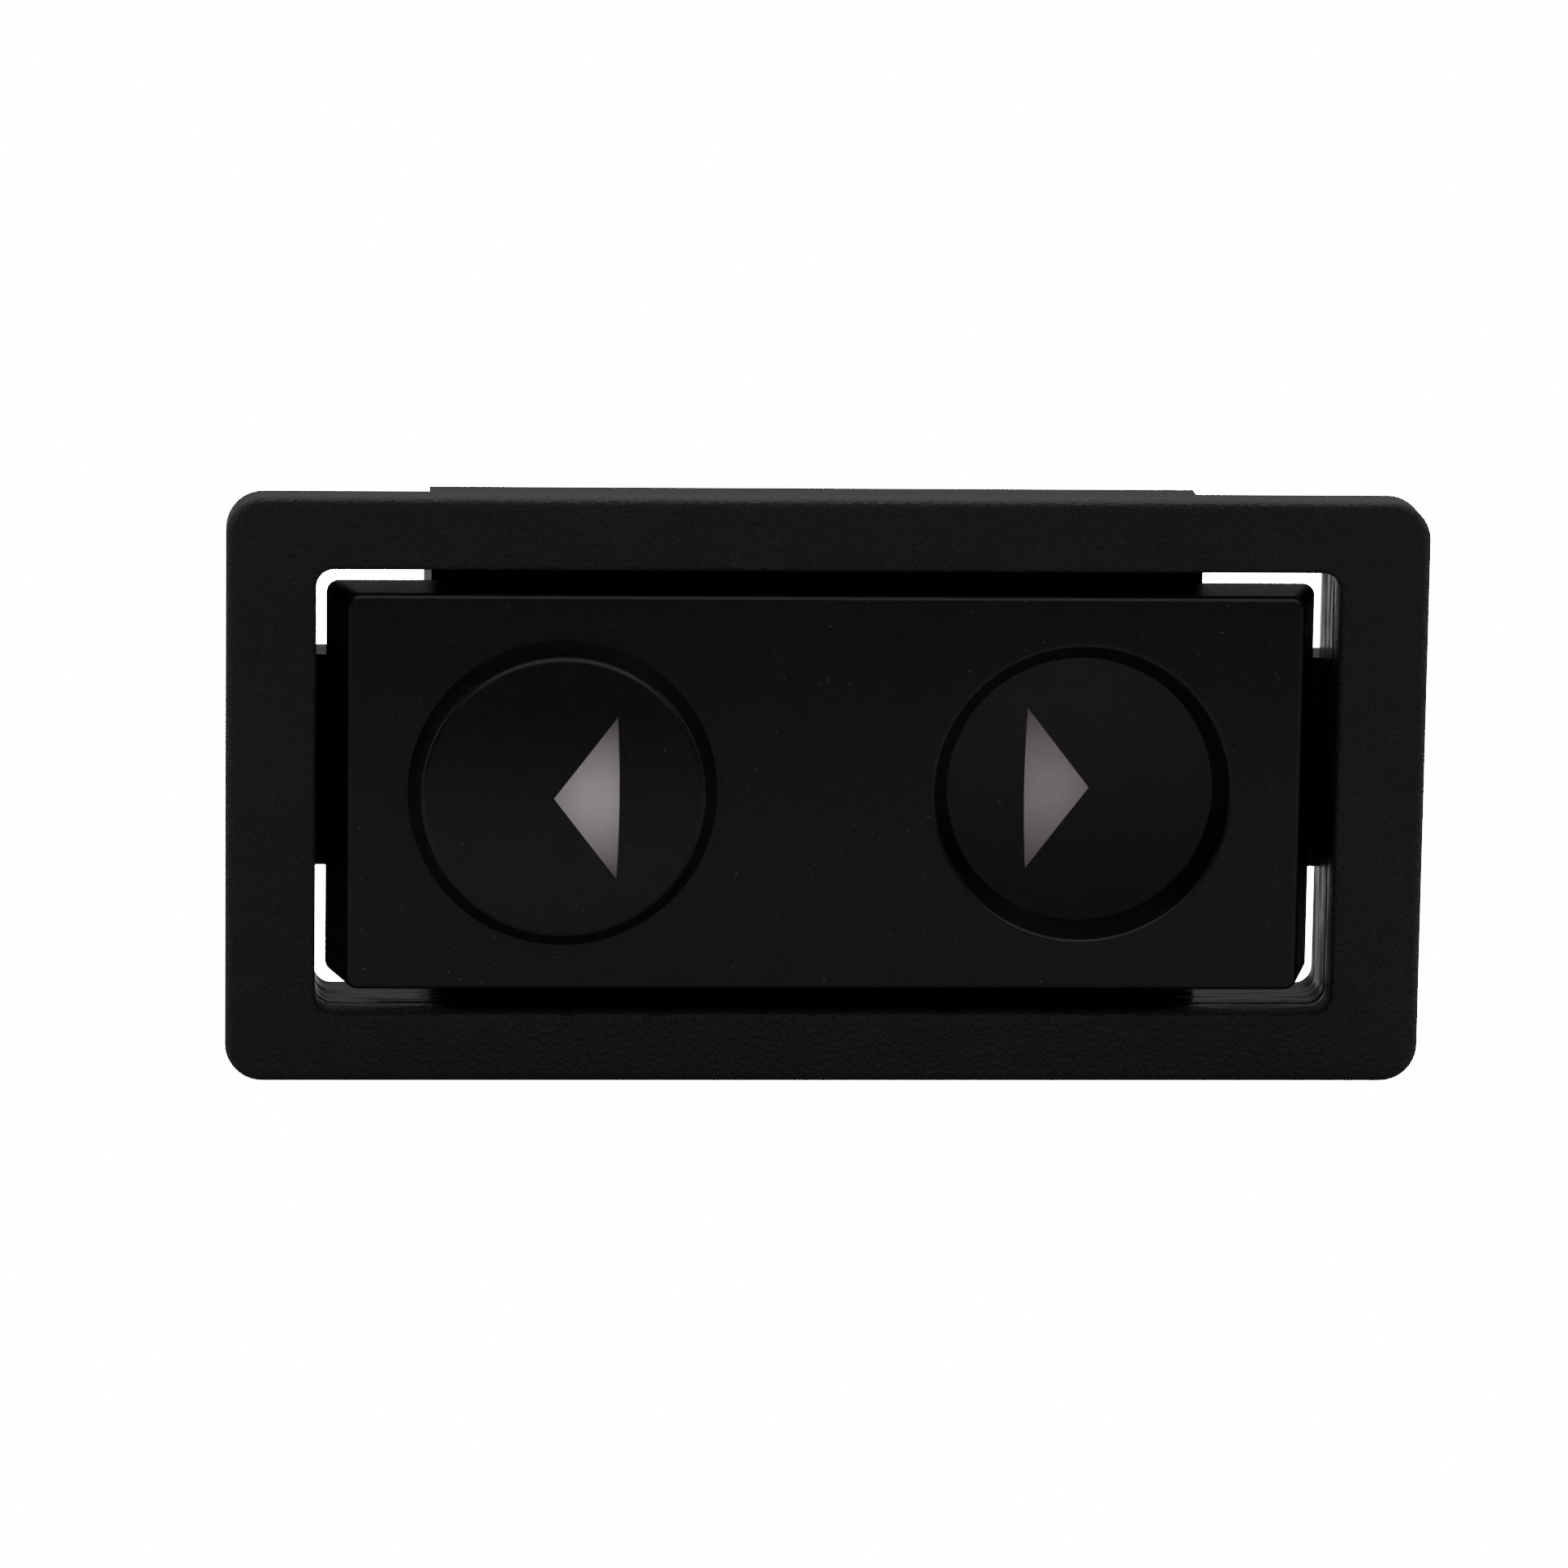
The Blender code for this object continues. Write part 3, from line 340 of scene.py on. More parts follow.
def satin_abs():
    """ABS from a fine-blasted tool: an even satin black with soft, wide highlights."""
    material, tree, shader, place = new_material(
        "satin moulded ABS", **{"IOR": 1.5, "Specular IOR Level": 0.5})
    fine = noise(tree, place, 0.00005)
    bump(tree, shader, fine, 0.000004)
    cloud = noise(tree, place, 0.004)
    dark = linear(bpy.context.scene.switch_rocker.colour)
    warm = (dark[0] * 1.15, dark[1] * 1.05, dark[2], 1.0)
    colour = blend_colours(tree, ramp(tree, cloud, (0.35, grey(0)), (0.7, grey(1))), dark, warm)
    tree.links.new(dust_on(tree, place, colour), shader.inputs["Base Color"])
    rough = ramp(tree, noise(tree, place, 0.0012), (0.3, grey(0.29)), (0.7, grey(0.34)))
    tree.links.new(rough, shader.inputs["Roughness"])
    return material


def opal_lens(name, centre, bright, dim):
    """Opal acrylic with painted light in its colour: a painted glow, white at its centre as if lit from
    behind, and painted shade, greyer towards its tips.
    """
    material, tree, shader, place = new_material(
        name, **{"Roughness": 0.35, "IOR": 1.49, "Subsurface Weight": 0.15,
                 "Subsurface Radius": (0.4, 0.4, 0.4), "Subsurface Scale": 0.001})
    # Radius of the painted glow's falloff.
    glow_reach = 0.0045
    mapped = add_node(tree, "ShaderNodeMapping", {
        "Vector": place, "Location": [-value / glow_reach for value in centre], "Scale": (1 / glow_reach,) * 3})
    fall = add_node(
        tree, "ShaderNodeTexGradient", {"Vector": mapped.outputs["Vector"]}, gradient_type="SPHERICAL")
    # Painted glow and shade: the colour runs from the dim colour at the tips to the bright colour at the
    # glow's centre.
    colour = ramp(tree, fall.outputs["Fac"], (0.05, linear(dim)), (0.85, linear(bright)))
    tree.links.new(colour, shader.inputs["Base Color"])
    rough = ramp(tree, noise(tree, place, 0.0006), (0.3, grey(0.3)), (0.7, grey(0.42)))
    tree.links.new(rough, shader.inputs["Roughness"])
    return material


def moulded_nylon(name, dark, pale, roughness, flow=0.0015):
    """Glass-filled nylon: faint flow clouds and short fibre streaks under a dull skin."""
    material, tree, shader, place = new_material(name, **{"IOR": 1.53, "Specular IOR Level": 0.35})
    fibres = noise(tree, stretched(tree, place, (1.0, 0.25, 1.0)), 0.00012, detail=2.0)
    cloud = noise(tree, place, flow)
    bump(tree, shader, fibres, 0.00001)
    tree.links.new(
        blend_colours(tree, ramp(tree, cloud, (0.35, grey(0)), (0.68, grey(1))), linear(dark), linear(pale)),
        shader.inputs["Base Color"])
    tree.links.new(
        ramp(tree, fibres, (0.3, grey(roughness - 0.08)), (0.7, grey(roughness + 0.08))),
        shader.inputs["Roughness"])
    return material


def drawn_metal(name, tint, shade, roughness, along=(1.0, 0.05, 1.0), line=0.00008):
    """Rolled, drawn or ground metal: fine lines along the way that it was worked."""
    material, tree, shader, place = new_material(name, **{"Metallic": 1.0})
    lines = noise(tree, stretched(tree, place, along), line, detail=2.0)
    bump(tree, shader, lines, 0.0000004)
    stain = noise(tree, place, 0.0025)
    tree.links.new(
        blend_colours(tree, ramp(tree, stain, (0.3, grey(0)), (0.75, grey(1))), linear(tint), linear(shade)),
        shader.inputs["Base Color"])
    tree.links.new(
        ramp(tree, lines, (0.3, grey(roughness - 0.07)), (0.7, grey(roughness + 0.1))),
        shader.inputs["Roughness"])
    return material


def lamp_glass():
    """Soda-lime lamp glass: clear, with the faint waviness of a blown envelope."""
    material, tree, shader, place = new_material(
        "blown lamp glass", **{"Base Color": linear("F4F6F6"), "Roughness": 0.03, "IOR": 1.52,
                               "Transmission Weight": 1.0})
    bump(tree, shader, noise(tree, place, 0.002, detail=0.0), 0.00002)
    return material


FINISHES = {}


def make_finishes():
    """Every finish once, by the record's material slot or, for a second finish in a slot, by its own name."""
    arrow = bpy.context.scene.switch_arrow
    glow_shift = arrow.length * 0.35 - arrow.shift
    glow_x = {name: disc_x(side) + side * glow_shift for name, side in SIDES.items()}
    # Centres of the lenses' painted glow. The right one sits 3 mm further back, so that lens comes out
    # darker, as painted shade for its sunk dish.
    left_glow = (glow_x["left"], CAP_LOW.y, 0)
    right_glow = (glow_x["right"], CAP_LOW.y + 3 * MM, 0)
    FINISHES.update({
        "bezel_plastic": grained_abs(),
        "rocker_plastic": satin_abs(),
        # One opal acrylic in two copies: a painted-lit one for the raised disc, and a darker painted-shade
        # one for the sunk dish.
        "left_lens": opal_lens("opal acrylic, painted lit glow", left_glow, "E9E6E9", "5E5A59"),
        "right_lens": opal_lens("opal acrylic, painted shaded glow", right_glow, "C1BBBB", "746F6D"),
        "housing_nylon": moulded_nylon("black glass-filled nylon", "1D1D1F", "272729", 0.5),
        "base_thermoset": moulded_nylon("dark brown phenolic", "2A1F19", "35281F", 0.45, flow=0.003),
        "ivory_nylon": moulded_nylon("natural nylon", "D8CFB8", "E4DCC8", 0.42, flow=0.004),
        "axle_steel": drawn_metal("black oxide steel", "38383A", "2A2A2C", 0.35, along=(1.0, 1.0, 0.05)),
        "spring_steel": drawn_metal("drawn spring wire", "A3A5A8", "7E8084", 0.3, along=(1.0, 1.0, 1.0)),
        "bronze_strip": drawn_metal(
            "rolled phosphor bronze", "C99A6B", "A87848", 0.3, along=(0.05, 1.0, 1.0)),
        "contact_silver": drawn_metal("silver contact alloy", "E2E1DC", "BDBBB4", 0.22),
        "tinned_brass": drawn_metal("tinned brass strip", "DAD7CC", "C4BCA4", 0.34, line=0.00015),
        "lamp_glass": lamp_glass(),
        "tungsten": drawn_metal("tungsten wire", "8C8A88", "6C6A68", 0.4),
    })


# ---- Meshes ----

def link_piece(name, mesh, finish, body, nodes=()):
    """Links a finished mesh as a piece that rides on a body and stands for CAD nodes."""
    mesh.materials.clear()
    mesh.materials.append(FINISHES[finish])
    piece = bpy.data.objects.new(name, mesh)
    bpy.context.scene.collection.objects.link(piece)
    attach(piece, body)
    if nodes:
        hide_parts(*nodes)
    return piece


def mesh_from(bm, name):
    bmesh.ops.remove_doubles(bm, verts=bm.verts, dist=1e-7)
    bmesh.ops.recalc_face_normals(bm, faces=bm.faces)
    mesh = bpy.data.meshes.new(name)
    bm.to_mesh(mesh)
    bm.free()
    return mesh


def shade(mesh, angle=30):
    mesh.shade_smooth()
    mesh.set_sharp_from_angle(angle=math.radians(angle))
    return mesh


def rounded_ring(half_width, half_height, radius, y, steps=10):
    """Points round a rectangle with rounded corners, in front view."""
    points = []
    centres = ((1, 1), (-1, 1), (-1, -1), (1, -1))
    for corner, (right, up) in enumerate(centres):
        for step in range(steps + 1):
            turn = math.pi / 2 * (corner + step / steps)
            points.append((
                right * (half_width - radius) + radius * math.cos(turn),
                y,
                up * (half_height - radius) + radius * math.sin(turn),
            ))
    return points


def round_ring(radius, y, centre, steps=128):
    turns = (2 * math.pi * step / steps for step in range(steps))
    return [(centre[0] + radius * math.cos(turn), y, centre[1] + radius * math.sin(turn)) for turn in turns]


def loft(bm, rings, closed=False, cap_first=False, cap_last=False):
    """Skins rings of as many points each, and can close the row of rings on itself or cap its ends."""
    rows = [[bm.verts.new(point) for point in ring] for ring in rings]
    pairs = list(zip(rows, rows[1:]))
    if closed:
        pairs.append((rows[-1], rows[0]))
    for near, far in pairs:
        for i in range(len(near)):
            j = (i + 1) % len(near)
            bm.faces.new((near[i], near[j], far[j], far[i]))
    if cap_first:
        bm.faces.new(rows[0])
    if cap_last:
        bm.faces.new(rows[-1])
    return rows


def quarter(radius, steps=5):
    """(inward, forward) places round a quarter turn, from a wall to the face in front of it."""
    turns = (math.pi / 2 * step / steps for step in range(steps + 1))
    return [(radius * (1 - math.cos(turn)), radius * math.sin(turn)) for turn in turns]


def helper(name, mesh):
    obj = bpy.data.objects.new(name, mesh)
    bpy.context.scene.collection.objects.link(obj)
    return obj


def boolean(obj, tool, operation):
    modifier = obj.modifiers.new(operation.title(), "BOOLEAN")
    modifier.operation = operation
    modifier.object = tool


def weigh_normals(obj):
    """Keeps large flat faces flat in the light, and rounds only their edges."""
    modifier = obj.modifiers.new("Weighted normals", "WEIGHTED_NORMAL")
    modifier.keep_sharp = True


def finished_mesh(obj, name, *tools):
    """The mesh that an object's modifiers give. The object and its tools are removed."""
    graph = bpy.context.evaluated_depsgraph_get()
    mesh = bpy.data.meshes.new_from_object(obj.evaluated_get(graph), depsgraph=graph)
    mesh.name = name
    for extra in (obj, *tools):
        bpy.data.objects.remove(extra, do_unlink=True)
    return mesh


def softened(node, edge, segments=2, angle=35):
    """A copy of a CAD node's mesh with its facets joined and its edges rounded, as a mould leaves them."""
    bm = bmesh.new()
    bm.from_mesh(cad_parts[node].data)
    bmesh.ops.remove_doubles(bm, verts=bm.verts, dist=2e-6)
    bmesh.ops.dissolve_limit(bm, angle_limit=math.radians(1), verts=bm.verts, edges=bm.edges)
    mesh = bpy.data.meshes.new(node)
    bm.to_mesh(mesh)
    bm.free()
    obj = helper(node, shade(mesh))
    bevel = obj.modifiers.new("Mould radius", "BEVEL")
    bevel.width = edge
    bevel.segments = segments
    bevel.limit_method = "ANGLE"
    bevel.angle_limit = math.radians(angle)
    bevel.use_clamp_overlap = True
    bevel.harden_normals = True
    return finished_mesh(obj, node)


# ---- Bezel ----

def bezel_mesh():
    """The frame as one section run round the opening: inner wall, front, outer wall, seat and collar."""
    bezel = bpy.context.scene.switch_bezel
    half_w = BEZEL_HIGH.x
    half_h = BEZEL_HIGH.z
    open_w = half_w - bezel.rim_side
    open_h = half_h - bezel.rim_top
    front = BEZEL_LOW.y
    rear = BEZEL_HIGH.y
    inner_round = 0.25 * MM
    groove_half = 0.2 * MM
    groove_depth = 0.1 * MM
    rings = []

    def add(width, height, radius, y):
        rings.append(rounded_ring(width, height, radius, y))

    def inner(out, y):
        add(open_w + out, open_h + out, bezel.opening_corner + out, y)

    inner(0, rear)
    inner(0, groove_y() + groove_half)
    inner(groove_depth, groove_y())
    inner(0, groove_y() - groove_half)
    for inward, forward in quarter(inner_round):
        inner(inward, front + inner_round - forward)
    for inward, forward in reversed(quarter(bezel.edge_round)):
        add(half_w - inward, half_h - inward, bezel.corner - inward, front + bezel.edge_round - forward)
    seat_edge = 0.4 * MM
    add(half_w, half_h, bezel.corner, -seat_edge)
    add(half_w - seat_edge, half_h - seat_edge, bezel.corner - seat_edge, 0)
    collar_w = open_w + COLLAR_SIDE_WALL
    collar_h = open_h + COLLAR_TOP_WALL
    collar_corner = bezel.opening_corner + COLLAR_TOP_WALL
    add(collar_w, collar_h, collar_corner, 0)
    add(collar_w, collar_h, collar_corner, rear - LEAD_IN)
    add(collar_w - LEAD_IN, collar_h - LEAD_IN, collar_corner - LEAD_IN, rear)
    bm = bmesh.new()
    loft(bm, rings, closed=True)
    return mesh_from(bm, "bezel_frame")


def collar_teeth_mesh():
    """The wedge-shaped teeth on the collar's sides, which the housing's arms snap over."""
    bezel = bpy.context.scene.switch_bezel
    wall = BEZEL_HIGH.x - bezel.rim_side + COLLAR_SIDE_WALL
    rear = BEZEL_HIGH.y - LEAD_IN
    front = rear - TOOTH_LENGTH
    tip = wall + TOOTH_REACH
    ramp_start = wall + 0.15 * MM
    ramp_end = front + 0.35 * MM
    section = ((wall - TOOTH_SINK, rear), (ramp_start, rear), (tip, ramp_end), (tip, front),
               (wall - TOOTH_SINK, front))
    bm = bmesh.new()
    for side in SIDES.values():
        ends = [[(side * x, y, z) for x, y in section] for z in (-TOOTH_HALF_HEIGHT, TOOTH_HALF_HEIGHT)]
        loft(bm, ends, cap_first=True, cap_last=True)
    return mesh_from(bm, "collar_teeth")


def build_bezel():
    frame_obj = helper("bezel_form", shade(bezel_mesh(), 40))
    teeth = helper("teeth_form", collar_teeth_mesh())
    boolean(frame_obj, teeth, "UNION")
    weigh_normals(frame_obj)
    mesh = finished_mesh(frame_obj, "bezel", teeth)
    link_piece("bezel", mesh, "bezel_plastic", "root", ("bezel_frame",))


# ---- Rocker ----

def groove_y():
    """The fine groove round the opening, where the grain stops."""
    return BEZEL_LOW.y + GRAIN_DEPTH


def face_y():
    """The plane of the rocker's face: the raised disc stands in front of it."""
    rocker = bpy.context.scene.switch_rocker
    return CAP_LOW.y + rocker.boss_height + rocker.crown


def disc_x(side):
    rocker = bpy.context.scene.switch_rocker
    return side * rocker.disc_offset + rocker.disc_shift


def boss_flat_radius():
    """Where the raised disc's rounded edge ends and its crown starts."""
    return bpy.context.scene.switch_rocker.boss_top - BOSS_EDGE


def crown_height(distance, radius):
    """Height of a disc's shallow crown, or depth of its dish, at a distance from the centre."""
    return bpy.context.scene.switch_rocker.crown * (1 - min(1.0, distance / radius) ** 2)


def cap_shell_mesh():
    """The cap's sloped outer walls, rounded face edge and hollow back."""
    rocker = bpy.context.scene.switch_rocker
    half_w = CAP_HIGH.x
    half_h = CAP_HIGH.z
    face = face_y()
    skirt = CAP_HIGH.y
    corner = CAP_CORNER
    wall = rocker.wall
    slope = rocker.end_slope / (skirt - face)

    def ring(inward, y, radius):
        run = (skirt - y) * slope
        points = rounded_ring(half_w - run - inward, half_h - inward, radius, y)
        return [(x + rocker.side_play, y, z) for x, y, z in points]

    rings = [ring(wall, face + wall, corner), ring(wall, skirt, corner),
             ring(SKIRT_LIP, skirt, corner - SKIRT_LIP), ring(0, skirt - SKIRT_LIP, corner)]
    rings += [ring(inward, face + rocker.edge_round - forward, corner - inward)
              for inward, forward in quarter(rocker.edge_round)]
    bm = bmesh.new()
    loft(bm, rings, cap_first=True, cap_last=True)
    return mesh_from(bm, "cap_shell")


def boss_mesh():
    """The raised disc: a sloped wall, a rounded edge and a crowned top."""
    rocker = bpy.context.scene.switch_rocker
    centre = (disc_x(SIDES["left"]), 0)
    face = face_y()
    inner = boss_flat_radius()
    slope = (rocker.boss_base - rocker.boss_top) / rocker.boss_height
    rings = [round_ring(rocker.boss_base, y, centre) for y in (face + BOSS_SINK, face)]
    edge_steps = 8
    for step in range(edge_steps + 1):
        turn = math.pi / 2 * step / edge_steps
        left = BOSS_EDGE * (1 - math.sin(turn))
        radius = inner + BOSS_EDGE * math.cos(turn) + slope * left
        rings.append(round_ring(radius, face - rocker.boss_height + left, centre))
    rings += crown_rings(inner, centre, face - rocker.boss_height, -1)
    return turned_mesh("boss", rings, (centre[0], face - rocker.boss_height - rocker.crown, 0))


def crown_rings(radius, centre, start_y, way):
    """Rings from just inside a disc's edge to near its centre, forward (-1) or to the rear (1)."""
    steps = 12
    radii = [radius * (1 - step / steps) for step in range(1, steps)]
    return [round_ring(r, start_y + way * crown_height(r, radius), centre) for r in radii]


def turned_mesh(name, rings, tip):
    """A solid of round rings, capped at its first ring and drawn to a point at its last."""
    bm = bmesh.new()
    rows = loft(bm, rings, cap_first=True)
    point = bm.verts.new(tip)
    last = rows[-1]
    for i, vert in enumerate(last):
        bm.faces.new((vert, last[(i + 1) % len(last)], point))
    return mesh_from(bm, name)


def dish_mesh():
    """The hollow of the dished disc: a rounded lip, a sloped wall and a dished floor."""
    rocker = bpy.context.scene.switch_rocker
    centre = (disc_x(SIDES["right"]), 0)
    face = face_y()
    rings = [round_ring(rocker.lip + DISH_EDGE, y, centre) for y in (face - 1.0 * MM, face)]
    steps = 5
    for step in range(1, steps + 1):
        turn = math.pi / 2 * step / steps
        radius = rocker.lip + DISH_EDGE * (1 - math.sin(turn))
        rings.append(round_ring(radius, face + DISH_EDGE * (1 - math.cos(turn)), centre))
    rings.append(round_ring(rocker.floor, face + rocker.depth, centre))
    rings += crown_rings(rocker.floor, centre, face + rocker.depth, 1)
    return turned_mesh("dish", rings, (centre[0], face + rocker.depth + rocker.crown, 0))


def cup_mesh():
    """The wall behind the dish, inside the cap."""
    rocker = bpy.context.scene.switch_rocker
    centre = (disc_x(SIDES["right"]), 0)
    radius = rocker.lip + CUP_WALL
    start = face_y() + rocker.wall / 2
    end = face_y() + rocker.depth + rocker.crown + CUP_BACK
    edge = 0.2 * MM
    bm = bmesh.new()
    rings = [round_ring(radius, start, centre), round_ring(radius, end - edge, centre),
             round_ring(radius - edge, end, centre)]
    loft(bm, rings, cap_first=True, cap_last=True)
    return mesh_from(bm, "cup")


def arrow_outline(side, grow=0.0):
    """An arrow in front view, as (x, z): its bowed base, then its tip. It points away from the middle."""
    arrow = bpy.context.scene.switch_arrow
    middle = disc_x(side)
    base = -arrow.shift - grow
    tip = base + arrow.length + 2.5 * grow
    half = arrow.base / 2 + 2 * grow
    bow_steps = 12
    flank_steps = 8
    points = []
    for step in range(bow_steps + 1):
        along = -1 + 2 * step / bow_steps
        points.append((middle + side * (base - arrow.bow * (1 - along ** 2)), half * along))
    shares = [step / flank_steps for step in range(1, flank_steps)]
    flank = [(middle + side * (base + (tip - base) * share), half * (1 - share)) for share in shares]
    points += flank
    points.append((middle + side * tip, 0.0))
    points += [(x, -z) for x, z in reversed(flank)]
    return points


def arrow_cutter_mesh(side):
    bm = bmesh.new()
    rings = [[(x, y, z) for x, z in arrow_outline(side)] for y in (face_y() - 3 * MM, face_y() + 4 * MM)]
    loft(bm, rings, cap_first=True, cap_last=True)
    return mesh_from(bm, "arrow_cutter")


def build_cap():
    cap = helper("cap_form", cap_shell_mesh())
    boss = helper("boss_form", boss_mesh())
    cup = helper("cup_form", cup_mesh())
    dish = helper("dish_form", dish_mesh())
    windows = [helper("window_form", arrow_cutter_mesh(side)) for side in SIDES.values()]
    boolean(cap, boss, "UNION")
    boolean(cap, cup, "UNION")
    boolean(cap, dish, "DIFFERENCE")
    for window in windows:
        boolean(cap, window, "DIFFERENCE")
    mesh = finished_mesh(cap, "cap", boss, cup, dish, *windows)
    shaded = helper("cap_shaded", shade(mesh, 40))
    weigh_normals(shaded)
    paddle = finished_mesh(shaded, "rocker_paddle")
    link_piece("rocker_paddle", paddle, "rocker_plastic", "rocker", ("rocker_cap",))


def lens_front(side, x, z):
    """Where a lens's front lies at a place: just under the raised or dished disc's surface."""
    rocker = bpy.context.scene.switch_rocker
    distance = math.hypot(x - disc_x(side), z)
    if side < 0:
        return face_y() - rocker.boss_height - crown_height(distance, boss_flat_radius()) + LENS_SINK
    return face_y() + rocker.depth + crown_height(distance, rocker.floor) + LENS_SINK


def lens_mesh(name, side):
    """A lens whose front follows its disc, with a stem through the window and a flange behind the wall."""
    outline = arrow_outline(side, -LENS_CLEARANCE)
    middle_x = sum(x for x, _ in outline) / len(outline)
    high = LENS_BOXES[name][1]
    flange_y = high.y - FLANGE_THICKNESS
    flange = arrow_outline(side, LENS_FLANGE)

    def front_ring(share):
        points = ((middle_x + (x - middle_x) * share, z * share) for x, z in outline)
        return [(x, lens_front(side, x, z), z) for x, z in points]

    rings = [front_ring(share) for share in (0.15, 0.4, 0.6, 0.8, 0.93, 1.0)]
    rings += [[(x, flange_y, z) for x, z in outline], [(x, flange_y, z) for x, z in flange],
              [(x, high.y, z) for x, z in flange]]
    bm = bmesh.new()
    loft(bm, rings, cap_first=True, cap_last=True)
    return shade(mesh_from(bm, f"{name}_lens"), 35)


def build_lenses():
    for name, side in SIDES.items():
        link_piece(f"{name}_arrow", lens_mesh(name, side), f"{name}_lens", "rocker", (f"{name}_arrow_lens",))


# ---- Housing, base and other pieces that keep their CAD shape ----

MOULDED = {
    "housing": ("switch_housing", "housing_nylon", "root", 0.00018),
    "rocker_carrier": ("carrier", "housing_nylon", "rocker", 0.00012),
    "terminal_base": ("base", "base_thermoset", "root", 0.00018),
    "plunger_left": ("left_plunger_barrel", "ivory_nylon", "left_plunger", 0.0001),
    "plunger_right": ("right_plunger_barrel", "ivory_nylon", "right_plunger", 0.0001),
    "lamp_socket": ("lamp_holder", "ivory_nylon", "root", 0.0001),
    "pivot_pin": ("axle", "axle_steel", "root", 0.00015),
}


def build_moulded():
    for node, (name, finish, body, edge) in MOULDED.items():
        link_piece(name, softened(node, edge), finish, body, (node,))


def stamp(name, node, edge, finish, body="root"):
    link_piece(name, softened(node, edge), finish, body, (node,))


def build_stampings():
    """Terminals, contact bars and their contacts, with the slight rounding of a press tool."""
    for row in ROWS:
        bar_body = f"{row}_contact_bar"
        stamp(f"{row}_bar", f"contact_bar_{row}", STRIP_EDGE, "bronze_strip", bar_body)
        stamp(f"{row}_common", f"common_terminal_{row}", STRIP_EDGE, "tinned_brass")
        for side in SIDES:
            place = f"{row}_{side}"
            stamp(f"{place}_blade", f"terminal_{place}", STRIP_EDGE, "tinned_brass")
            stamp(f"{place}_moving", f"moving_contact_{place}", CONTACT_EDGE, "contact_silver", bar_body)
            stamp(f"{place}_fixed", f"fixed_contact_{place}", CONTACT_EDGE, "contact_silver")
    for side in SIDES:
        stamp(f"{side}_lamp_blade", f"lamp_terminal_{side}", STRIP_EDGE, "tinned_brass")


# ---- Geometry Nodes: springs and ribs ----

def node_group(name, sizes, finish):
    """A tree with one float input for each size, those inputs, and a function that ends it in a finish."""
    tree = bpy.data.node_groups.new(name, "GeometryNodeTree")
    tree.interface.new_socket("Geometry", in_out="OUTPUT", socket_type="NodeSocketGeometry")
    for size in sizes:
        tree.interface.new_socket(size, in_out="INPUT", socket_type="NodeSocketFloat")
    inlet = tree.nodes.new("NodeGroupInput")
    outlet = tree.nodes.new("NodeGroupOutput")

    def close(geometry):
        real = add_node(tree, "GeometryNodeRealizeInstances", {"Geometry": geometry})
        painted = add_node(tree, "GeometryNodeSetMaterial", {
            "Geometry": real.outputs["Geometry"], "Material": FINISHES[finish]})
        tree.links.new(painted.outputs["Geometry"], outlet.inputs["Geometry"])

    return tree, inlet.outputs, close


def grown(name, tree, sizes):
    """The plain mesh that a tree gives for these sizes."""
    obj = helper(name, bpy.data.meshes.new(name))
    modifier = obj.modifiers.new(tree.name, "NODES")
    modifier.node_group = tree
    for item in tree.interface.items_tree:
        if item.in_out == "INPUT":
            modifier[item.identifier] = sizes[item.name]
    return finished_mesh(obj, name)


def spring_tree():
    """A coil along Z swept with round wire, with its last turn at each end closed up."""
    sizes = ("Radius", "Length", "Turns", "Wire")
    tree, sockets, close = node_group("Coil spring", sizes, "spring_steel")
    coil = add_node(tree, "GeometryNodeCurveSpiral", {
        "Resolution": 28, "Rotations": sockets["Turns"], "Start Radius": sockets["Radius"],
        "End Radius": sockets["Radius"], "Height": sockets["Length"]})
    place = add_node(tree, "GeometryNodeInputPosition")
    parts = add_node(tree, "ShaderNodeSeparateXYZ", {0: place.outputs["Position"]})
    share = math_node(tree, "DIVIDE", parts.outputs["Z"], sockets["Length"])
    closed_ends = add_node(tree, "ShaderNodeMapRange", {"Value": share, "From Min": 0.1, "From Max": 0.9})
    height = math_node(tree, "MULTIPLY", closed_ends.outputs[0], sockets["Length"])
    end_lift = math_node(tree, "MULTIPLY", share, sockets["Wire"])
    joined = add_node(tree, "ShaderNodeCombineXYZ", {
        "X": parts.outputs["X"], "Y": parts.outputs["Y"], "Z": math_node(tree, "ADD", height, end_lift)})
    moved = add_node(tree, "GeometryNodeSetPosition", {
        "Geometry": coil.outputs["Curve"], "Position": joined.outputs["Vector"]})
    section = add_node(tree, "GeometryNodeCurvePrimitiveCircle", {
        "Resolution": 10, "Radius": sockets["Wire"]})
    swept = add_node(tree, "GeometryNodeCurveToMesh", {
        "Curve": moved.outputs["Geometry"], "Profile Curve": section.outputs["Curve"], "Fill Caps": True})
    close(swept.outputs["Mesh"])
    return tree


def build_springs():
    tree = spring_tree()
    for name in SIDES:
        node = f"return_spring_{name}"
        low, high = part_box(node)
        radius = (high.x - low.x) / 2 - SPRING_WIRE
        mesh = grown(f"{name}_coil", tree, {
            "Radius": radius, "Length": high.y - low.y - 2 * SPRING_WIRE, "Turns": SPRING_TURNS,
            "Wire": SPRING_WIRE})
        middle = (low + high) / 2
        seat = Matrix.Translation((middle.x, high.y - SPRING_WIRE, middle.z))
        mesh.transform(seat @ Matrix.Rotation(math.pi / 2, 4, "X"))
        spring = link_piece(f"{name}_coil", shade(mesh, 60), "spring_steel", "root", (node,))
        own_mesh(spring)


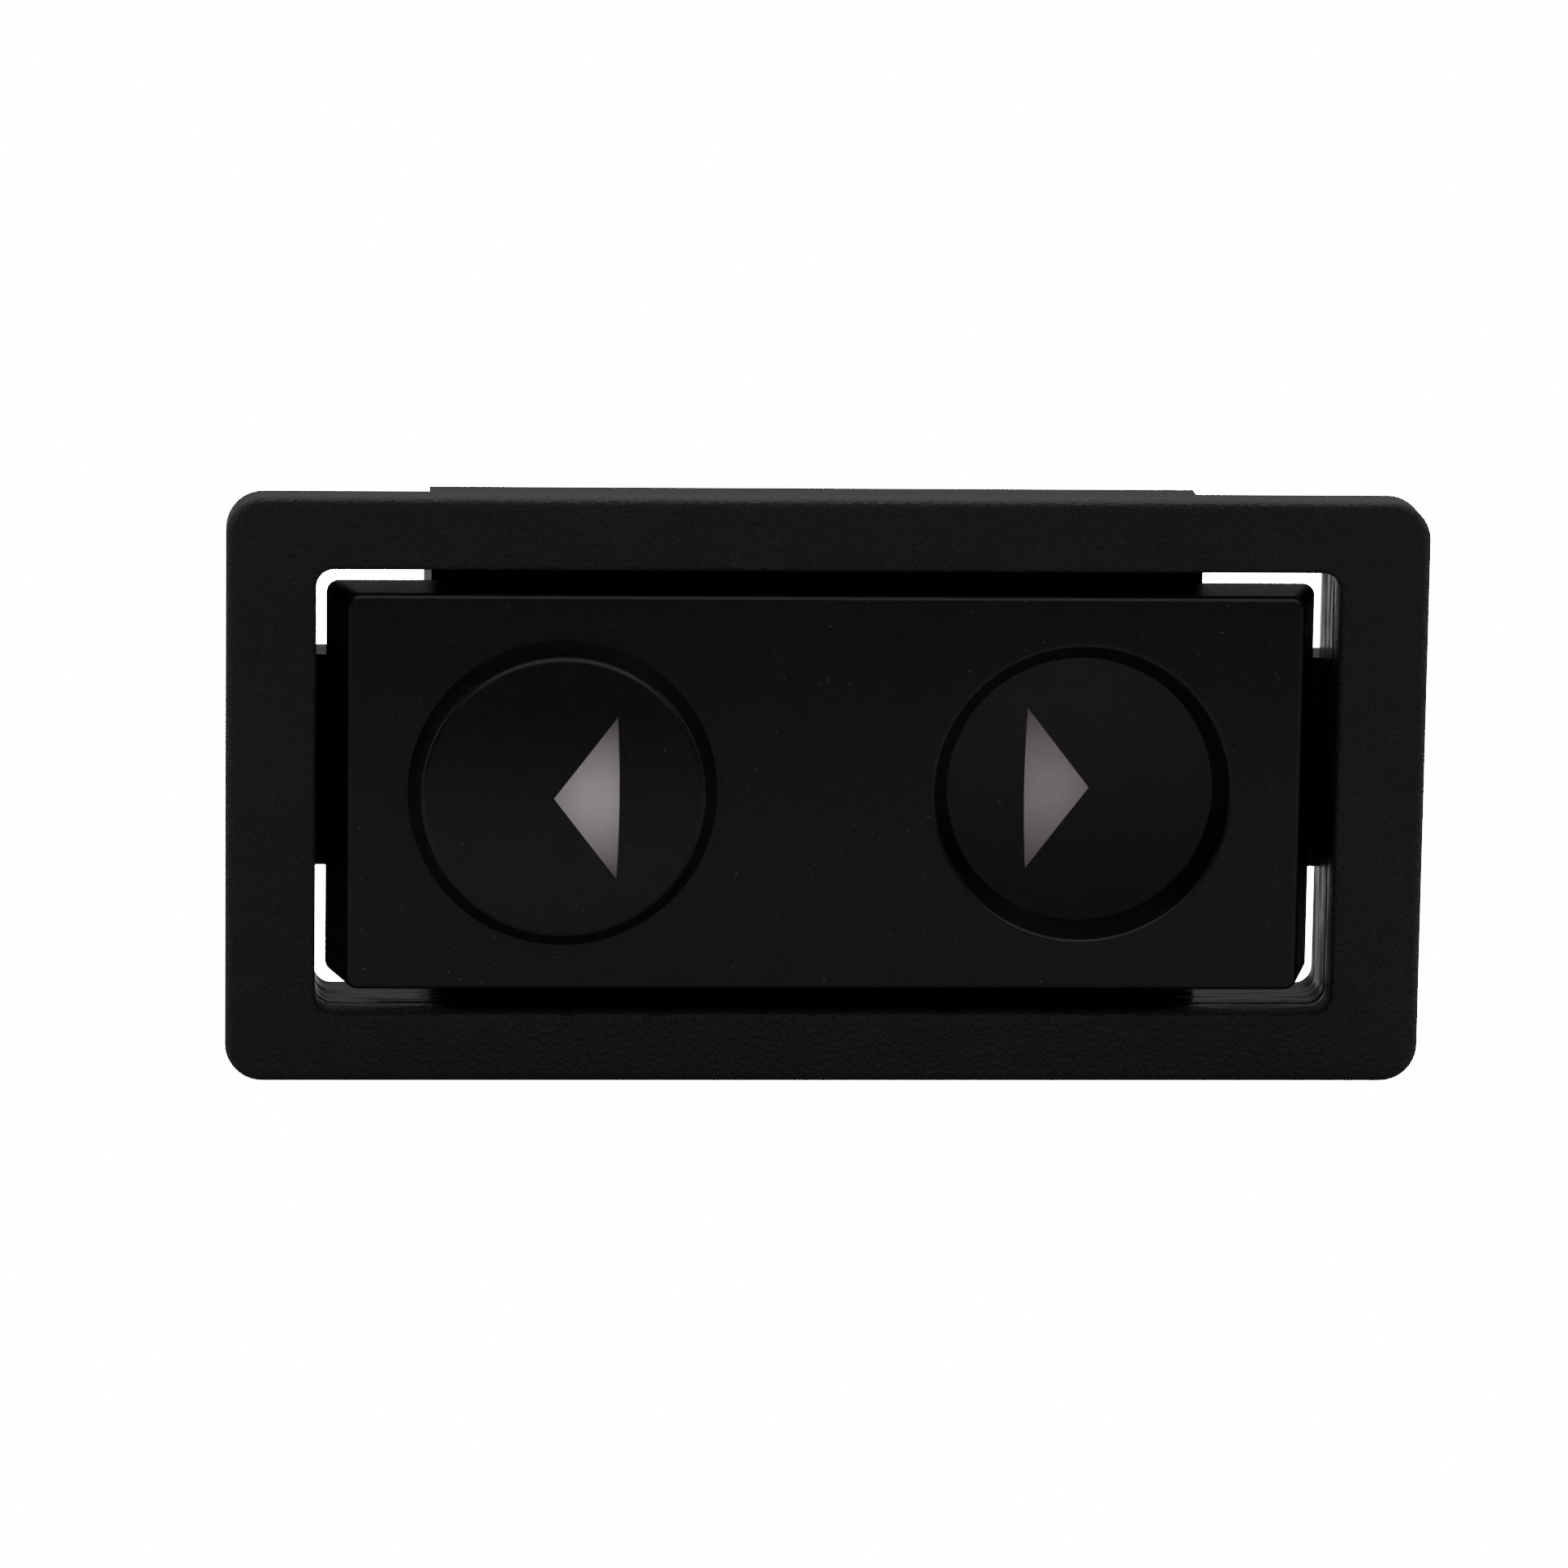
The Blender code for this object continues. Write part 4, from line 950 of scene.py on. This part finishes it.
def rib_tree():
    """A row of equal blocks along X."""
    sizes = ("Spacing", "Width", "Depth", "Height")
    tree, sockets, close = node_group("Rib row", sizes, "housing_nylon")
    tree.interface.new_socket("Count", in_out="INPUT", socket_type="NodeSocketInt")
    block_size = add_node(tree, "ShaderNodeCombineXYZ", {
        "X": sockets["Width"], "Y": sockets["Depth"], "Z": sockets["Height"]})
    block = add_node(tree, "GeometryNodeMeshCube", {"Size": block_size.outputs["Vector"]})
    step = add_node(tree, "ShaderNodeCombineXYZ", {"X": sockets["Spacing"]})
    count = tree.nodes["Group Input"].outputs["Count"]
    row = add_node(tree, "GeometryNodeMeshLine", {"Count": count, "Offset": step.outputs["Vector"]})
    placed = add_node(tree, "GeometryNodeInstanceOnPoints", {
        "Points": row.outputs["Mesh"], "Instance": block.outputs["Mesh"]})
    close(placed.outputs["Instances"])
    return tree


def build_ribs():
    """Stiffening ribs across the housing's rear section, above and below."""
    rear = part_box("housing")[1].y
    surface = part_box("terminal_base")[1].z
    tree = rib_tree()
    rib = {"Spacing": RIB_SPACING, "Width": RIB_WIDTH, "Depth": RIB_LENGTH, "Height": RIB_HEIGHT,
           "Count": RIB_COUNT}
    start = -RIB_SPACING * (RIB_COUNT - 1) / 2
    bm = bmesh.new()
    for side in ROWS.values():
        mesh = grown("rib_row", tree, rib)
        mesh.transform(Matrix.Translation((start, rear - RIB_MIDDLE, side * surface)))
        bm.from_mesh(mesh)
    link_piece("housing_ribs", shade(mesh_from(bm, "housing_ribs")), "housing_nylon", "root")


# ---- Lamp ----

def bulb_profile(radius, shrink, low, high):
    """(radius, y) places from the tip of the glass to its neck, as far inside the skin as shrink says."""
    size = radius - shrink
    dome_steps = 8
    places = []
    for step in range(1, dome_steps + 1):
        turn = math.pi / 2 * step / dome_steps
        places.append((size * math.sin(turn), low.y + radius - size * math.cos(turn)))
    return places + [(size, high.y - NECK_START), (NECK_RADIUS - shrink / 2, high.y - NECK_END)]


def build_bulb():
    """A blown glass envelope with a real wall, a pinched foot, two leads and a coiled filament."""
    low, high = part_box("lamp_bulb")
    radius = (high.x - low.x) / 2
    foot = round_ring(NECK_RADIUS, high.y, (0, 0), BULB_STEPS)
    outside = [round_ring(r, y, (0, 0), BULB_STEPS) for r, y in bulb_profile(radius, 0, low, high)] + [foot]
    inside = [round_ring(r, y, (0, 0), BULB_STEPS) for r, y in bulb_profile(radius, GLASS_WALL, low, high)]
    bm = bmesh.new()
    bm.from_mesh(turned_mesh("hollow", list(reversed(inside)), (0, low.y + GLASS_WALL, 0)))
    bmesh.ops.reverse_faces(bm, faces=bm.faces)
    bm.from_mesh(turned_mesh("envelope", list(reversed(outside)), (0, low.y, 0)))
    mesh = bpy.data.meshes.new("bulb")
    bm.to_mesh(mesh)
    bm.free()
    link_piece("bulb_envelope", shade(mesh, 40), "lamp_glass", "root", ("lamp_bulb",))
    build_filament(low, high)


def build_filament(low, high):
    """The coil across the lamp and its two leads, which lean in to the foot."""
    half_width = 0.8 * MM
    lead_radius = 0.09 * MM
    filament = grown("filament", spring_tree(), {
        "Radius": 0.12 * MM, "Length": 2 * half_width, "Turns": 12.0, "Wire": 0.03 * MM})
    across = Matrix.Rotation(math.pi / 2, 4, "Y")
    filament.transform(Matrix.Translation((-half_width, low.y + 2.4 * MM, 0)) @ across)
    bm = bmesh.new()
    bm.from_mesh(filament)
    lead_places = (
        (half_width, low.y + 2.35 * MM),
        (0.75 * MM, low.y + 4.2 * MM),
        (0.45 * MM, high.y - 2.3 * MM),
    )
    for side in SIDES.values():
        lead = [round_ring(lead_radius, y, (side * x, 0), 10) for x, y in lead_places]
        loft(bm, lead, cap_first=True, cap_last=True)
    mesh = shade(mesh_from(bm, "filament"), 60)
    link_piece("filament", mesh, "tungsten", "root")


# ---- Stage ----

BACKDROP_GLOW = 16.0


def area_light(name, place, target, size, power, colour=(1, 1, 1)):
    data = bpy.data.lights.new(name, "AREA")
    data.shape = "RECTANGLE"
    data.size, data.size_y = size
    data.energy = power
    data.color = colour
    light = bpy.data.objects.new(name, data)
    light.location = place
    light.rotation_euler = (Vector(target) - Vector(place)).to_track_quat("-Z", "Y").to_euler()
    bpy.context.scene.collection.objects.link(light)


def make_world():
    """White to the camera. To the object it is bright behind and dark in front, where the faces look."""
    world = bpy.data.worlds.new("studio")
    bpy.context.scene.world = world
    world.use_nodes = True
    tree = world.node_tree
    tree.nodes.clear()
    direction = add_node(tree, "ShaderNodeTexCoord").outputs["Generated"]
    rearward = add_node(tree, "ShaderNodeSeparateXYZ", {0: direction}).outputs["Y"]
    around = add_node(tree, "ShaderNodeMapRange", {
        "Value": rearward, "From Min": 0.1, "From Max": 0.8, "To Min": 0.02, "To Max": 0.16})
    seen = add_node(tree, "ShaderNodeLightPath").outputs["Is Camera Ray"]
    strength = add_node(tree, "ShaderNodeMix", {0: seen, 2: around.outputs[0], 3: BACKDROP_GLOW})
    light = add_node(tree, "ShaderNodeBackground", {"Color": grey(1), "Strength": strength.outputs[0]})
    output = add_node(tree, "ShaderNodeOutputWorld")
    tree.links.new(light.outputs[0], output.inputs["Surface"])


def make_floor():
    """A pale seamless sheet under the object, so bright that it shows as plain white."""
    material = bpy.data.materials.new("white seamless paper")
    material.use_nodes = True
    tree = material.node_tree
    tree.nodes.clear()
    seen = add_node(tree, "ShaderNodeLightPath").outputs["Is Camera Ray"]
    paper = add_node(tree, "ShaderNodeBsdfDiffuse", {"Color": linear("E6E6E6")})
    glow = add_node(tree, "ShaderNodeEmission", {"Strength": BACKDROP_GLOW})
    mix = add_node(tree, "ShaderNodeMixShader", {0: seen, 1: paper.outputs[0], 2: glow.outputs[0]})
    output = add_node(tree, "ShaderNodeOutputMaterial")
    tree.links.new(mix.outputs[0], output.inputs["Surface"])
    bm = bmesh.new()
    level = CAD_LOW.z - 0.1 * MM
    half_width = 1.5
    front = -0.105
    rear = 2.0
    corners = ((-half_width, front), (half_width, front), (half_width, rear), (-half_width, rear))
    bm.faces.new([bm.verts.new((x, y, level)) for x, y in corners])
    mesh = mesh_from(bm, "floor")
    mesh.materials.append(material)
    floor = helper("floor", mesh)


def make_camera():
    stage = bpy.context.scene.switch_stage
    data = bpy.data.cameras.new("camera")
    data.lens = stage.lens
    data.sensor_width = 36.0
    data.clip_start = 0.01
    data.clip_end = 20.0
    camera = bpy.data.objects.new("camera", data)
    back = Vector((
        -math.sin(stage.azimuth) * math.cos(stage.elevation),
        -math.cos(stage.azimuth) * math.cos(stage.elevation),
        math.sin(stage.elevation),
    ))
    level = Vector((math.cos(stage.azimuth), -math.sin(stage.azimuth), 0))
    upright = back.cross(level)
    right = level * math.cos(stage.roll) + upright * math.sin(stage.roll)
    up = back.cross(right)
    turn = Matrix((right, up, back)).transposed()
    camera.matrix_world = Matrix.Translation(Vector(stage.aim) + back * stage.distance) @ turn.to_4x4()
    bpy.context.scene.collection.objects.link(camera)
    bpy.context.scene.camera = camera


def build_stage():
    make_world()
    make_floor()
    middle = (0, 0, 0)
    warm = (1.0, 0.92, 0.95)
    area_light("high front softbox", (0.05, -0.45, 0.45), middle, (1.0, 0.6), 1.45, warm)
    area_light("rear overhead softbox", (0, 0.3, 0.25), (0, 0.3, -0.014), (0.6, 0.3), 0.6)
    area_light("left softbox", (-0.5, 0.15, 0.15), middle, (0.4, 0.5), 0.8)
    area_light("right softbox", (0.5, 0.15, 0.15), middle, (0.4, 0.5), 0.8)
    make_camera()


# ---- Operators, panel and registration ----

class SWITCH_OT_finishes(bpy.types.Operator):
    """Make every material"""

    bl_idname = "switch.finishes"
    bl_label = "Finishes"
    bl_options = {"REGISTER", "UNDO"}

    def execute(self, context):
        make_finishes()
        return {"FINISHED"}


class SWITCH_OT_bezel(bpy.types.Operator):
    """Build the grained bezel"""

    bl_idname = "switch.bezel"
    bl_label = "Bezel"
    bl_options = {"REGISTER", "UNDO"}

    def execute(self, context):
        build_bezel()
        return {"FINISHED"}


class SWITCH_OT_cap(bpy.types.Operator):
    """Build the rocker's paddle with its two thumb discs"""

    bl_idname = "switch.cap"
    bl_label = "Rocker cap"
    bl_options = {"REGISTER", "UNDO"}

    def execute(self, context):
        build_cap()
        return {"FINISHED"}


class SWITCH_OT_lenses(bpy.types.Operator):
    """Build the two arrow lenses"""

    bl_idname = "switch.lenses"
    bl_label = "Arrow lenses"
    bl_options = {"REGISTER", "UNDO"}

    def execute(self, context):
        build_lenses()
        return {"FINISHED"}


class SWITCH_OT_moulded(bpy.types.Operator):
    """Round the housing, base and other moulded pieces"""

    bl_idname = "switch.moulded"
    bl_label = "Moulded pieces"
    bl_options = {"REGISTER", "UNDO"}

    def execute(self, context):
        build_moulded()
        return {"FINISHED"}


class SWITCH_OT_stampings(bpy.types.Operator):
    """Round the terminals and contacts"""

    bl_idname = "switch.stampings"
    bl_label = "Stampings"
    bl_options = {"REGISTER", "UNDO"}

    def execute(self, context):
        build_stampings()
        return {"FINISHED"}


class SWITCH_OT_springs(bpy.types.Operator):
    """Wind the return springs"""

    bl_idname = "switch.springs"
    bl_label = "Springs"
    bl_options = {"REGISTER", "UNDO"}

    def execute(self, context):
        build_springs()
        return {"FINISHED"}


class SWITCH_OT_ribs(bpy.types.Operator):
    """Add the housing's stiffening ribs"""

    bl_idname = "switch.ribs"
    bl_label = "Ribs"
    bl_options = {"REGISTER", "UNDO"}

    def execute(self, context):
        build_ribs()
        return {"FINISHED"}


class SWITCH_OT_bulb(bpy.types.Operator):
    """Build the lamp's glass and filament"""

    bl_idname = "switch.bulb"
    bl_label = "Lamp"
    bl_options = {"REGISTER", "UNDO"}

    def execute(self, context):
        build_bulb()
        return {"FINISHED"}


class SWITCH_OT_stage(bpy.types.Operator):
    """Set the floor, lights and camera"""

    bl_idname = "switch.stage"
    bl_label = "Stage"
    bl_options = {"REGISTER", "UNDO"}

    def execute(self, context):
        build_stage()
        return {"FINISHED"}


OPERATORS = (
    SWITCH_OT_finishes,
    SWITCH_OT_bezel,
    SWITCH_OT_cap,
    SWITCH_OT_lenses,
    SWITCH_OT_moulded,
    SWITCH_OT_stampings,
    SWITCH_OT_springs,
    SWITCH_OT_ribs,
    SWITCH_OT_bulb,
    SWITCH_OT_stage,
)


class SWITCH_PT_panel(bpy.types.Panel):
    """Lists the building steps and their settings."""

    bl_label = "Rocker switch"
    bl_idname = "SWITCH_PT_panel"
    bl_space_type = "VIEW_3D"
    bl_region_type = "UI"
    bl_category = "Rocker switch"

    def draw(self, context):
        layout = self.layout
        for group in SETTINGS:
            settings = getattr(context.scene, group)
            box = layout.box()
            for key in settings.__annotations__:
                box.prop(settings, key)
        for step in OPERATORS:
            layout.operator(step.bl_idname)


def register():
    for name, group in SETTINGS.items():
        bpy.utils.register_class(group)
        setattr(bpy.types.Scene, name, PointerProperty(type=group))
    for step in (*OPERATORS, SWITCH_PT_panel):
        bpy.utils.register_class(step)


def unregister():
    for step in (SWITCH_PT_panel, *reversed(OPERATORS)):
        bpy.utils.unregister_class(step)
    for name, group in SETTINGS.items():
        delattr(bpy.types.Scene, name)
        bpy.utils.unregister_class(group)


def main():
    register()
    for step in OPERATORS:
        name = step.bl_idname.split(".")[1]
        getattr(bpy.ops.switch, name)()


if __name__ == "__main__":
    main()
